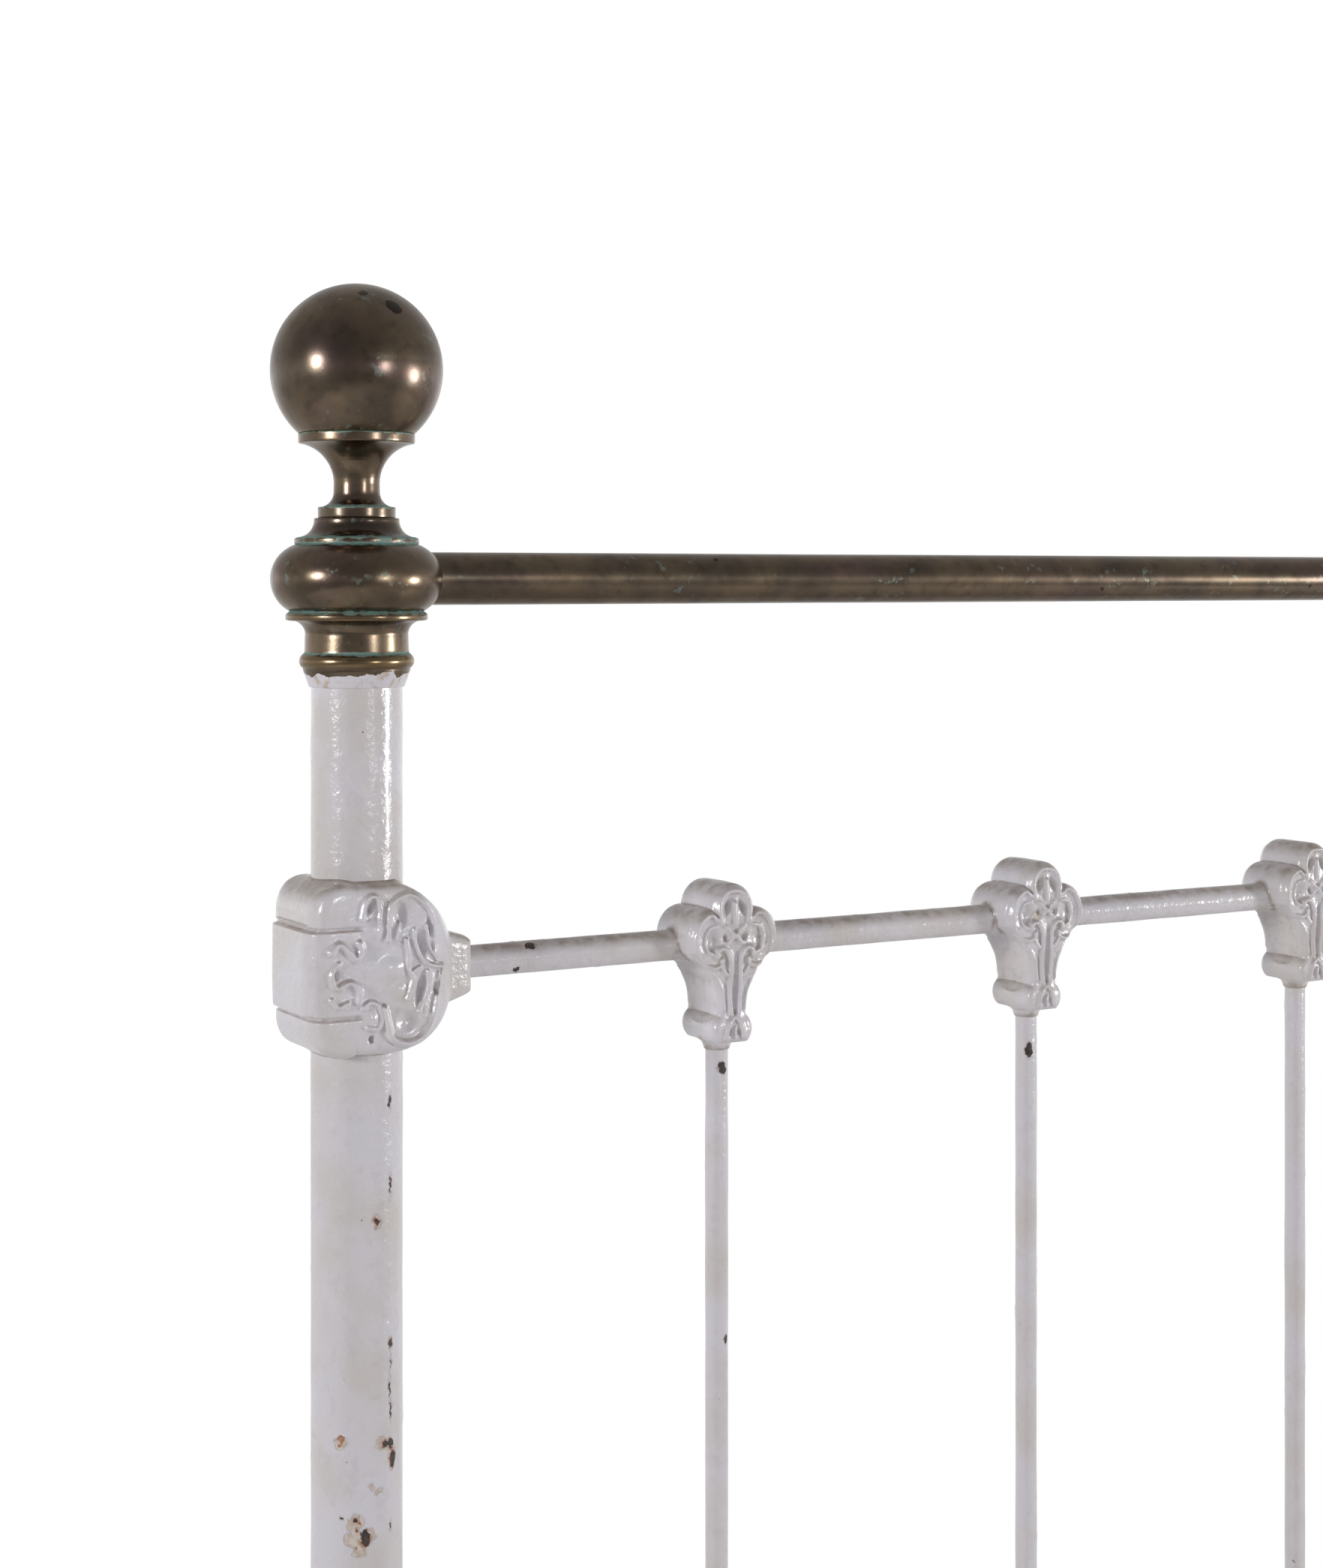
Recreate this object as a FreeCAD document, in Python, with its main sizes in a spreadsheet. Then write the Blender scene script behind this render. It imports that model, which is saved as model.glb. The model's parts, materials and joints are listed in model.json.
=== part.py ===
import FreeCAD, Part
import math
import os

import Sketcher

# Iron and brass bed frame, in millimetres: +Z up, X across the bed, Y along it with the head end at +Y.
# The origin is on the floor, under the middle of the bed.
#
# Each end is two tube posts, a brass top rail between turned brass knobs, an iron rod near the top and
# another at mattress height, and spindles between the rods. Cast-iron joints are poured round every
# crossing. Two angle irons hook into dovetail sockets on the posts and carry flat laths. Every post
# stands on a swivelling caster.

SIZES = [
    ("width_centres", 1392, "post axis to post axis, across the bed"),
    ("length_centres", 1950, "post axis to post axis, along the bed"),
    ("head_rail_up", 1220, "floor to the axis of the head end's brass rail"),
    ("foot_rail_up", 880, "floor to the axis of the foot end's brass rail"),
    ("upper_rod_drop", 162, "brass rail's axis down to the upper rod's axis"),
    ("lower_rod_up", 330, "floor to the lower rod's axis"),
    ("spindle_count", 7, "spindles in each end"),
    ("lath_count", 11, "laths across the bed"),
    ("post_dia", 38, "outside of the post tube"),
    ("post_wall", 2.2, "wall of the post tube"),
    ("brass_rail_dia", 22.2, "outside of the brass top rail"),
    ("brass_rail_wall", 1.2, "wall of the brass top rail"),
    ("rod_dia", 14, "upper and lower iron rods, with their paint"),
    ("spindle_dia", 10.5, "spindles, with their paint"),
    ("stud_dia", 8, "threaded stud that holds a finial down"),
    ("seat_gap", 0.05, "clearance round anything that is seated and stays put"),
    # finial ball: a spun shell, open underneath
    ("ball_radius", 35.6, "outside of the ball"),
    ("ball_wall", 1.5, "metal of the ball, whose mouth is as wide as the flange"),
    # finial neck
    ("ring_radius", 16, "disc at the foot of the neck"),
    ("ring_tall", 4.6, "thickness of that disc"),
    ("edge_step", 1, "flat edge left round the neck's disc and its flange"),
    ("waist_radius", 9.9, "narrowest part of the neck"),
    ("waist_up", 16, "height of the waist above the neck's foot"),
    ("flange_radius", 24, "flange that the ball sits on"),
    ("flange_tall", 4.2, "thickness of that flange"),
    ("neck_tall", 35, "foot of the neck to the top of its flange"),
    ("spigot_tall", 4, "boss that centres the ball"),
    # rail knob
    ("cap_radius", 17.4, "top face of the knob"),
    ("cap_tall", 8, "coved cap above the lip"),
    ("cove_hollow", 1.5, "how far the knob's coves are hollowed"),
    ("lip_radius", 25.6, "thin lip over the bulb"),
    ("lip_tall", 2.6, "thickness of that lip"),
    ("bulb_radius", 35.6, "widest part of the bulb"),
    ("bulb_neck_radius", 25, "where the bulb meets the lip and the collar"),
    ("bulb_cover", 3.2, "bulb above and below the brass rail"),
    ("collar_radius", 29.2, "ring under the bulb"),
    ("collar_tall", 2.9, "thickness of that ring"),
    ("cove_tall", 5.5, "hollow between collar and skirt"),
    ("skirt_wall", 3.3, "metal of the skirt round the post"),
    ("skirt_tall", 8, "straight part of the skirt"),
    ("bead_proud", 1.4, "bead beyond the skirt"),
    ("bead_tall", 6.6, "height of the bead"),
    ("cone_tall", 7.4, "painted cone under the bead"),
    ("cone_wall", 0.6, "metal at the cone's lower edge"),
    ("post_in_knob", 22, "how far the post goes up into the knob"),
    ("rail_stop", 6, "post axis to the brass rail's end"),
    ("plug_tall", 16, "iron plug in the top of a post"),
    # small casting, where a spindle meets a rod
    ("cast_cover", 9.6, "casting in front of and behind the rod"),
    ("crown_up", 27.4, "top of the middle lobe above the rod's axis"),
    ("crown_half", 11.2, "half width of the middle lobe"),
    ("wing_up", 16.6, "where the middle lobe meets the side lobes"),
    ("wing_round", 6.6, "how far the side lobes bulge"),
    ("wing_half", 21.6, "half width at the foot of the side lobes"),
    ("wing_foot_drop", 3, "foot of the side lobes, below the axis"),
    ("flank_hollow", 3.2, "hollow of the flanks between side lobes and neck"),
    ("neck_wall", 2.2, "casting beside the spindle at the neck"),
    ("neck_top_drop", 26, "top of the neck, below the axis"),
    ("neck_foot_drop", 31, "foot of the neck, below the axis"),
    ("cuff_flare", 2.8, "how far the cuff stands out beyond the neck"),
    ("cuff_foot_drop", 43.5, "foot of the cuff, below the axis"),
    ("rod_web", 2, "iron left between a rod and what meets it"),
    # corner casting, where a rod meets a post
    ("corner_cover", 6, "casting in front of and behind the post"),
    ("corner_half", 34.6, "half height of the casting"),
    ("corner_rise", 3.4, "middle of the casting above the rod's axis"),
    ("corner_flat", 9.5, "half width of its flat top"),
    ("corner_round", 11, "rounding of its outer corners, seen from above"),
    ("taper_start", 1, "where it starts to taper towards the rod, beyond the post's side"),
    ("back_cover", 13, "middle band beyond the post, on the outer side"),
    ("back_round", 0.8, "how far the middle band bulges"),
    ("band_half", 19.5, "half height of the middle band"),
    ("band_step", 3, "how far the upper and lower bands lie behind the middle one"),
    ("band_end", 23.1, "where the upper and lower bands begin to round off"),
    ("band_round", 5.5, "how far they round off"),
    ("shoulder_cover", 18, "shoulder beyond the post, on the rod's side"),
    ("shoulder_round", 3.2, "how far the shoulder bulges"),
    ("corner_reach", 30, "cuff's end beyond the post, on the rod's side"),
    ("cuff_root_wall", 8, "cuff above the rod where it leaves the shoulder"),
    ("cuff_tip_wall", 4.8, "cuff above the rod at its end"),
    # side irons, dovetail hooks and laths
    ("iron_leg", 38, "each leg of the angle iron"),
    ("iron_thick", 4.5, "thickness of the angle iron"),
    ("socket_wide", 38, "width of the dovetail socket's block"),
    ("socket_deep", 13, "how far that block stands out"),
    ("socket_cover", 2, "how far that block is taller than the hook, above and below"),
    ("socket_floor", 6, "closed bottom of the socket"),
    ("dovetail_mouth", 15, "dovetail's width at the mouth, low down"),
    ("dovetail_root", 22, "dovetail's width at its root, low down"),
    ("dovetail_taper", 3, "how much wider the dovetail is at its top"),
    ("dovetail_deep", 9, "how deep the dovetail goes"),
    ("hook_gap", 0.2, "clearance between hook and socket"),
    ("hook_wide", 24, "width of the cast end of a side iron"),
    ("hook_long", 32, "length of that cast end"),
    ("hook_cover", 4, "cast end above and below the iron"),
    ("iron_bite", 22, "how far the angle iron goes into its cast end"),
    ("lath_wide", 32, "width of a lath"),
    ("lath_thick", 3, "thickness of a lath"),
    ("lath_end_gap", 1, "lath's end to the upright leg of the iron"),
    ("lath_margin", 90, "iron's end to the first lath's middle"),
    ("rivet_dia", 6, "lath rivets"),
    ("rivet_in", 20, "rivet's axis inside the post line"),
    ("rivet_sunk", 0.2, "rivet below the lath's face"),
    ("rivet_head_dia", 12, "rivet's head under the iron"),
    ("rivet_head_tall", 3, "thickness of that head"),
    # casters
    ("wheel_radius", 20, "caster wheel"),
    ("wheel_wide", 18, "width of a wheel"),
    ("wheel_bevel", 1.5, "bevel at the edges of the tread"),
    ("wheel_trail", 13, "how far a wheel's axle lies behind its swivel"),
    ("wheel_clear", 4, "wheel to the plate above it"),
    ("cheek_gap", 1, "wheel to each cheek"),
    ("cheek_thick", 4, "cheeks of the horn"),
    ("eye_radius", 6.5, "cheek round the axle"),
    ("cheek_front", 10, "front edge of the cheeks at the plate, ahead of the swivel's axis"),
    ("cheek_back", 16, "back edge of the cheeks at the plate, behind that axis"),
    ("plate_radius", 17, "plate at the top of the horn"),
    ("plate_tall", 5, "thickness of that plate"),
    ("swivel_gap", 0.3, "plate to the ferrule above it"),
    ("stem_dia", 10, "caster stem"),
    ("stem_tall", 34, "length of the stem, above the plate"),
    ("stem_gap", 1, "extra depth of the socket that the stem turns in"),
    ("axle_dia", 6, "caster axle"),
    ("axle_head_dia", 10, "heads of the axle"),
    ("axle_head_tall", 1.6, "thickness of those heads"),
    ("running_gap", 0.1, "radial clearance of the stem and the axle"),
    ("ferrule_proud", 2.6, "ferrule's collar beyond the post"),
    ("ferrule_tall", 13, "collar below the post"),
    ("ferrule_spigot", 38, "ferrule inside the post"),
]

RIGHT_HAND, LEFT_HAND = 1, -1
HANDS = {"right_hand": RIGHT_HAND, "left_hand": LEFT_HAND}
HALF_TURN = 180
BEYOND = 1  # how far a cutting tool runs past the face that it cuts

doc = FreeCAD.newDocument("bed_frame")
nodes = []


# ---------------------------------------------------------------- sizes that remember their formula


class Size:
    """A length that also holds the sheet formula it comes from, so that geometry and formula agree."""

    def __init__(self, value, formula):
        self.value = float(value)
        self.formula = formula

    def __add__(self, other):
        other = as_size(other)
        return Size(self.value + other.value, f"({self.formula} + {other.formula})")

    def __sub__(self, other):
        other = as_size(other)
        return Size(self.value - other.value, f"({self.formula} - {other.formula})")

    def __mul__(self, other):
        other = as_size(other)
        return Size(self.value * other.value, f"({self.formula} * {other.formula})")

    def __truediv__(self, other):
        other = as_size(other)
        return Size(self.value / other.value, f"({self.formula} / {other.formula})")

    def __neg__(self):
        return Size(-self.value, f"(-1 * {self.formula})")


def as_size(thing):
    """A plain number as a Size, and a Size as it is."""
    return thing if isinstance(thing, Size) else Size(thing, f"({float(thing)})")


def square_root(size):
    return Size(math.sqrt(size.value), f"sqrt({size.formula})")


class Sheet:
    """The driving dimensions: each alias of the spreadsheet is an attribute that holds a Size."""

    def __init__(self, rows):
        page = doc.addObject("Spreadsheet::Sheet", "sizes")
        for line, (alias, value, meaning) in enumerate(rows, 1):
            page.set(f"A{line}", alias)
            page.set(f"B{line}", str(value))
            page.setAlias(f"B{line}", alias)
            page.set(f"C{line}", meaning)
            setattr(self, alias, Size(value, f"sizes.{alias}"))


s = Sheet(SIZES)
doc.recompute()


# ---------------------------------------------------------------- building blocks


def bind(thing, name, size):
    """Sets a property and ties it to its formula in the sheet."""
    size = as_size(size)
    if "." not in name:
        setattr(thing, name, size.value)
    thing.setExpression(name, size.formula)


def place(thing, x=0, y=0, z=0, axis=(0, 0, 1), angle=0):
    """Puts an object at a bound position, turned by an angle in degrees about an axis."""
    thing.Placement = FreeCAD.Placement(FreeCAD.Vector(), FreeCAD.Rotation(FreeCAD.Vector(*axis), angle))
    for letter, size in (("x", x), ("y", y), ("z", z)):
        bind(thing, f"Placement.Base.{letter}", size)
    return thing


def cylinder(name, radius, height, **where):
    rod = doc.addObject("Part::Cylinder", name)
    bind(rod, "Radius", radius)
    bind(rod, "Height", height)
    return place(rod, **where)


def rod_along_x(name, radius, start, length, y=0, z=0):
    """A cylinder that runs towards +X from start."""
    return cylinder(name, radius, length, x=start, y=y, z=z, axis=(0, 1, 0), angle=90)


def block(name, low, high):
    """A box from its lowest corner to its highest."""
    box = doc.addObject("Part::Box", name)
    low, high = [as_size(v) for v in low], [as_size(v) for v in high]
    for side, a, b in zip(("Length", "Width", "Height"), low, high):
        bind(box, side, b - a)
    return place(box, *low)


def fuse(name, *pieces):
    joined = doc.addObject("Part::MultiFuse", name)
    joined.Shapes = list(pieces)
    joined.Refine = True
    return joined


def cut(name, base, *tools):
    """What is left of the base once the tools are taken away."""
    rest = doc.addObject("Part::Cut", name)
    rest.Base = base
    rest.Tool = tools[0] if len(tools) == 1 else fuse(f"{name}_tools", *tools)
    return rest


def copy_of(pattern, name, **where):
    """Another piece cast or turned from the same pattern."""
    copied = doc.addObject("Part::Compound", name)
    copied.Links = [pattern]
    return place(copied, **where)


def node(thing, label):
    """Hands an object in as a named sub-part."""
    thing.Label = label
    nodes.append(thing)


def group_node(pieces, label):
    """Hands in identical loose pieces that share one node."""
    together = doc.addObject("Part::Compound", f"{label}_group")
    together.Links = list(pieces)
    node(together, label)


def plane_of(body, role):
    return [f for f in body.Origin.OriginFeatures if f.Role == role][0]


def bulged(start, end, rise):
    """The point that stands off the middle of a straight line, to the right of the way along it."""
    x, up = as_size(start[0]), as_size(start[1])
    dx, dup = as_size(end[0]) - x, as_size(end[1]) - up
    share = as_size(rise) / square_root(dx * dx + dup * dup)
    return x + dx / 2 + dup * share, up + dup / 2 - dx * share


def pin_point(sketch, geometry, end, point):
    """Ties one sketch point to its two formulas."""
    for kind, size in zip(("DistanceX", "DistanceY"), point):
        size = as_size(size)
        row = sketch.addConstraint(Sketcher.Constraint(kind, geometry, end, size.value))
        sketch.setExpression(f"Constraints[{row}]", size.formula)


def spot(point):
    return FreeCAD.Vector(as_size(point[0]).value, as_size(point[1]).value, 0)


def add_arc(sketch, before, after):
    """An arc to a corner, through the point that the corner's third entry gives."""
    via = after[2] if isinstance(after[2], tuple) else bulged(before, after, after[2])
    arc = sketch.addGeometry(Part.Arc(spot(before), spot(via), spot(after)), False)
    guide = sketch.addGeometry(Part.Point(spot(via)), True)
    sketch.addConstraint(Sketcher.Constraint("PointOnObject", guide, 1, arc))
    pin_point(sketch, guide, 1, via)
    return arc


def outline(body, role, corners, raised=0):
    """A closed sketch through its corners, anticlockwise. Each is (across, up). One that an arc leads
    to has a third entry: a point that the arc passes through, or how far it bulges outwards."""
    sketch = body.newObject("Sketcher::SketchObject", f"{body.Name}_outline")
    sketch.AttachmentSupport = (plane_of(body, role), [""])
    sketch.MapMode = "FlatFace"
    bind(sketch, "AttachmentOffset.Base.z", raised)
    ends = []
    for before, after in zip(corners[-1:] + corners[:-1], corners):
        if len(after) == 3:
            edge = add_arc(sketch, before, after)
        else:
            edge = sketch.addGeometry(Part.LineSegment(spot(before), spot(after)), False)
        to_end = [(sketch.getPoint(edge, which) - spot(after)).Length for which in (1, 2)]
        first, last = (2, 1) if to_end[0] < to_end[1] else (1, 2)
        pin_point(sketch, edge, last, after)
        ends.append((edge, first, last))
    for (edge, _, last), (following, first, _) in zip(ends, ends[1:] + ends[:1]):
        sketch.addConstraint(Sketcher.Constraint("Coincident", edge, last, following, first))
    return sketch


def turned(name, corners):
    """A body turned about Z, from a half profile of (radius, height) corners."""
    body = doc.addObject("PartDesign::Body", name)
    sketch = outline(body, "XZ_Plane", corners)
    turning = body.newObject("PartDesign::Revolution", f"{name}_turning")
    turning.Profile = sketch
    turning.ReferenceAxis = (sketch, ["V_Axis"])
    turning.Angle = 360
    body.Tip = turning
    return body


def slab(name, role, corners, thickness):
    """A body of even thickness about the plane that its outline is drawn in."""
    body = doc.addObject("PartDesign::Body", name)
    sketch = outline(body, role, corners)
    pad = body.newObject("PartDesign::Pad", f"{name}_pad")
    pad.Profile = sketch
    pad.Midplane = True
    bind(pad, "Length", thickness)
    body.Tip = pad
    return body


# ---------------------------------------------------------------- places

HALF_WIDTH = s.width_centres / 2
HALF_LENGTH = s.length_centres / 2
SIDES = {"left": (-HALF_WIDTH, 0), "right": (HALF_WIDTH, HALF_TURN)}
ENDS = {"head": (HALF_LENGTH, s.head_rail_up), "foot": (-HALF_LENGTH, s.foot_rail_up)}
SPINDLES = int(s.spindle_count.value)
LATHS = int(s.lath_count.value)
SPINDLE_PITCH = s.width_centres / (s.spindle_count + 1)

post_radius = s.post_dia / 2
post_inside = post_radius - s.post_wall
rod_radius = s.rod_dia / 2
rail_radius = s.brass_rail_dia / 2
stud_hole_radius = s.stud_dia / 2 + s.seat_gap

bulb_half = rail_radius + s.bulb_cover
knob_top = bulb_half + s.lip_tall + s.cap_tall
skirt_radius = post_radius + s.skirt_wall
skirt_foot = bulb_half + s.collar_tall + s.cove_tall + s.skirt_tall + s.bead_tall + s.cone_tall
ball_centre_up = square_root(s.ball_radius * s.ball_radius - s.flange_radius * s.flange_radius)
ball_inside = s.ball_radius - s.ball_wall
ball_mouth = square_root(ball_inside * ball_inside - ball_centre_up * ball_centre_up)
neck_full = s.neck_tall + s.spigot_tall

cast_thick = s.rod_dia + s.cast_cover * 2
corner_thick = s.post_dia + s.corner_cover * 2
spindle_stop = rod_radius + s.rod_web
rod_stop = post_radius + s.rod_web

horn_top = s.wheel_radius * 2 + s.wheel_clear + s.plate_tall
ferrule_foot = horn_top + s.swivel_gap
post_foot = ferrule_foot + s.ferrule_tall
axle_half = s.wheel_wide / 2 + s.cheek_gap + s.cheek_thick

iron_foot = s.lower_rod_up - s.iron_leg / 2
ledge_top = iron_foot + s.iron_thick
hook_half = s.iron_leg / 2 + s.hook_cover
socket_half = hook_half + s.socket_cover
hook_face = corner_thick / 2 + s.socket_deep + s.hook_gap
hook_back = hook_face + s.hook_long
iron_end = HALF_LENGTH - hook_back + s.iron_bite
lath_half = HALF_WIDTH - s.iron_thick / 2 - s.lath_end_gap
rivet_across = HALF_WIDTH - s.rivet_in
rivet_hole_radius = s.rivet_dia / 2 + s.seat_gap
first_lath = iron_end - s.lath_margin
lath_places = [first_lath * 2 / (s.lath_count - 1) * i - first_lath for i in range(LATHS)]


# ---------------------------------------------------------------- brass


def ball_pattern():
    """A spun ball, open where it sits on the flange. Its own Z starts at that seat."""
    return turned(
        "ball_pattern",
        [
            (ball_mouth, 0, (ball_inside, ball_centre_up)),
            (s.flange_radius, 0),
            (0, ball_centre_up + s.ball_radius, (s.ball_radius, ball_centre_up)),
            (0, ball_centre_up + ball_inside),
        ],
    )


def neck_pattern():
    """The stem between knob and ball: a disc, a deep cove with its waist, a flange and a centring boss."""
    flange_foot = s.neck_tall - s.flange_tall
    spigot = ball_mouth - s.seat_gap
    blank = turned(
        "neck_blank",
        [
            (0, 0),
            (s.ring_radius, 0),
            (s.ring_radius, s.ring_tall),
            (s.ring_radius - s.edge_step, s.ring_tall),
            (s.flange_radius - s.edge_step, flange_foot, (s.waist_radius, s.waist_up)),
            (s.flange_radius, flange_foot),
            (s.flange_radius, s.neck_tall),
            (spigot, s.neck_tall),
            (spigot, neck_full),
            (0, neck_full),
        ],
    )
    return cut("neck_pattern", blank, cylinder("neck_hole", stud_hole_radius, neck_full))


def knob_pattern():
    """The knob that takes the brass rail's end. Its own origin is on the rail's axis, above the post."""
    cap_foot = bulb_half + s.lip_tall
    collar_foot = bulb_half + s.collar_tall
    skirt_top = collar_foot + s.cove_tall
    bead_top = skirt_top + s.skirt_tall
    bead_foot = bead_top + s.bead_tall
    bore = post_radius + s.seat_gap
    blank = turned(
        "knob_blank",
        [
            (bore, -skirt_foot),
            (bore + s.cone_wall, -skirt_foot),
            (skirt_radius, -bead_foot),
            (skirt_radius, -bead_top, s.bead_proud),
            (skirt_radius, -skirt_top),
            (s.collar_radius, -collar_foot, -s.cove_hollow),
            (s.collar_radius, -bulb_half),
            (s.bulb_neck_radius, -bulb_half),
            (s.bulb_neck_radius, bulb_half, s.bulb_radius - s.bulb_neck_radius),
            (s.lip_radius, bulb_half),
            (s.lip_radius, cap_foot),
            (s.cap_radius, knob_top, -s.cove_hollow),
            (0, knob_top),
            (0, -s.post_in_knob),
            (bore, -s.post_in_knob),
        ],
    )
    stud_hole = cylinder("knob_stud_hole", stud_hole_radius, knob_top + s.post_in_knob, z=-s.post_in_knob)
    rail_hole = rod_along_x(
        "knob_rail_hole", rail_radius + s.seat_gap, s.rail_stop - s.seat_gap, s.bulb_radius
    )
    return cut("knob_pattern", blank, stud_hole, rail_hole)


def brass_rail(label, y, z):
    """The tube between two knobs."""
    where = {"start": s.rail_stop - HALF_WIDTH, "length": s.width_centres - s.rail_stop * 2, "y": y, "z": z}
    outside = rod_along_x(f"{label}_outside", rail_radius, **where)
    inside = rod_along_x(f"{label}_inside", rail_radius - s.brass_rail_wall, **where)
    return cut(label, outside, inside)


# ---------------------------------------------------------------- cast joints


def small_casting_pattern():
    """The joint at a spindle: three lobes over the rod, a waisted neck, and a cuff round the spindle.
    Its own origin is on the rod's axis, and its spindle hangs down."""
    neck_half = s.spindle_dia / 2 + s.neck_wall
    right = [
        (neck_half, -s.cuff_foot_drop),
        (neck_half, -s.neck_foot_drop, s.cuff_flare),
        (neck_half, -s.neck_top_drop),
        (s.wing_half, -s.wing_foot_drop, -s.flank_hollow),
        (s.crown_half, s.wing_up, s.wing_round),
    ]
    left = [
        (-s.crown_half, s.wing_up, s.crown_up - s.wing_up),
        (-s.wing_half, -s.wing_foot_drop, s.wing_round),
        (-neck_half, -s.neck_top_drop, -s.flank_hollow),
        (-neck_half, -s.neck_foot_drop),
        (-neck_half, -s.cuff_foot_drop, s.cuff_flare),
    ]
    blank = slab("small_casting_blank", "XZ_Plane", right + left, cast_thick)
    reach = s.wing_half + s.wing_round
    rod_hole = rod_along_x("small_rod_hole", rod_radius + s.seat_gap, -reach, reach * 2)
    spindle_hole = cylinder(
        "small_spindle_hole",
        s.spindle_dia / 2 + s.seat_gap,
        s.cuff_foot_drop + BEYOND - spindle_stop + s.seat_gap,
        z=-s.cuff_foot_drop - BEYOND,
    )
    return cut("small_casting_pattern", blank, rod_hole, spindle_hole)


def corner_plan():
    """What the joint at a post covers, seen from above: round outer corners, and a taper towards the rod."""
    back = post_radius + s.back_cover
    tip = post_radius + s.corner_reach
    taper = post_radius + s.taper_start
    half, tip_half = corner_thick / 2, rod_radius + s.cuff_tip_wall
    side, turn = half - s.corner_round, s.corner_round - back
    rise = s.corner_round * (1 - math.sqrt(0.5))
    corners = [
        (-back, -side),
        (turn, -half, rise),
        (taper, -half),
        (tip, -tip_half),
        (tip, tip_half),
        (taper, half),
        (turn, half),
        (-back, side, rise),
    ]
    return slab("corner_plan", "XY_Plane", corners, (s.corner_half + s.corner_rise) * 2)


def corner_blank():
    """The joint at a post, before its holes: three bands on the outer side, a round shoulder on the
    rod's side and a cuff round the rod. Its own origin is where the two axes cross."""
    back = post_radius + s.back_cover
    bands = back - s.band_step
    shoulder = post_radius + s.shoulder_cover
    tip = post_radius + s.corner_reach
    root_half = rod_radius + s.cuff_root_wall
    tip_half = rod_radius + s.cuff_tip_wall
    top, foot = s.corner_rise + s.corner_half, s.corner_rise - s.corner_half
    corners = [
        (-s.corner_flat, foot, s.band_round),
        (s.corner_flat, foot),
        (shoulder, -root_half, s.shoulder_round),
        (tip, -tip_half),
        (tip, tip_half),
        (shoulder, root_half),
        (s.corner_flat, top, s.shoulder_round),
        (-s.corner_flat, top),
        (-bands, s.corner_rise + s.band_end, s.band_round),
        (-bands, s.corner_rise + s.band_half),
        (-back, s.corner_rise + s.band_half),
        (-back, s.corner_rise - s.band_half, s.back_round),
        (-bands, s.corner_rise - s.band_half),
        (-bands, s.corner_rise - s.band_end),
    ]
    blank = slab("corner_slab", "XZ_Plane", corners, corner_thick)
    common = doc.addObject("Part::Common", "corner_blank")
    common.Base, common.Tool = blank, corner_plan()
    return common


def post_hole(name):
    half = s.corner_half + s.corner_rise + BEYOND
    return cylinder(f"{name}_post_hole", post_radius + s.seat_gap, half * 2, z=-half)


def rod_hole(name):
    start = rod_stop - s.seat_gap
    end = post_radius + s.corner_reach + BEYOND
    return rod_along_x(f"{name}_rod_hole", rod_radius + s.seat_gap, start, end - start)


def dovetail(name, foot, ease):
    """A dovetail that widens upwards and inwards. Its own origin is at the socket block's outer face,
    at the rod's height, and ease is how much smaller it is all round than the socket."""
    body = doc.addObject("PartDesign::Body", name)
    sections = []
    for up, wider in ((foot, as_size(0)), (socket_half + BEYOND, s.dovetail_taper / 2)):
        mouth = s.dovetail_mouth / 2 + wider - ease
        root = s.dovetail_root / 2 + wider - ease
        deep = s.dovetail_deep - ease
        corners = [(-mouth, -BEYOND), (mouth, -BEYOND), (root, deep), (-root, deep)]
        sections.append(outline(body, "XY_Plane", corners, up))
    loft = body.newObject("PartDesign::AdditiveLoft", f"{name}_loft")
    loft.Profile = sections[0]
    loft.Sections = sections[1:]
    loft.Ruled = True
    body.Tip = loft
    return body


def socket_pattern(name, blank, hand, slot):
    """A corner casting with the dovetail socket that faces -Y, its rod towards +X or -X."""
    turn = 0 if hand == RIGHT_HAND else HALF_TURN
    face = -(corner_thick / 2 + s.socket_deep)
    lug = block(
        f"{name}_lug",
        (-s.socket_wide / 2, face, -socket_half),
        (s.socket_wide / 2, -post_radius, socket_half),
    )
    body = fuse(f"{name}_body", copy_of(blank, f"{name}_blank", angle=turn), lug)
    rod = copy_of(rod_hole(name), f"{name}_turned_rod_hole", angle=turn)
    return cut(name, body, post_hole(name), rod, copy_of(slot, f"{name}_slot", y=face))


# ---------------------------------------------------------------- side irons and laths


def angle_outline(hand, ease=0):
    """The L of a side iron, seen along Y, about the post line. Its ledge points into the bed, and ease
    is how much larger it is all round than the iron."""
    half = s.iron_thick / 2
    outer, inner = half + ease, s.iron_leg - half + ease
    foot, top = -s.iron_leg / 2 - ease, s.iron_leg / 2 + ease
    ledge = s.iron_thick - s.iron_leg / 2 + ease
    corners = [(-outer, foot), (inner, foot), (inner, ledge), (outer, ledge), (outer, top), (-outer, top)]
    if hand == RIGHT_HAND:
        return corners
    return [(-across, up) for across, up in reversed(corners)]


def hook_pattern(name, hand, tail):
    """The cast end of a side iron, facing +Y: a block poured round the iron, and the dovetail."""
    body = block(
        f"{name}_block",
        (-s.hook_wide / 2, -hook_back, -hook_half),
        (s.hook_wide / 2, -hook_face, hook_half),
    )
    hooked = copy_of(tail, f"{name}_tail", y=s.hook_gap - hook_face)
    whole = fuse(f"{name}_whole", body, hooked)
    seat = slab(f"{name}_seat", "XZ_Plane", angle_outline(hand, s.seat_gap), (s.iron_bite + s.seat_gap) * 2)
    return cut(name, whole, place(seat, y=-hook_back))


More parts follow.
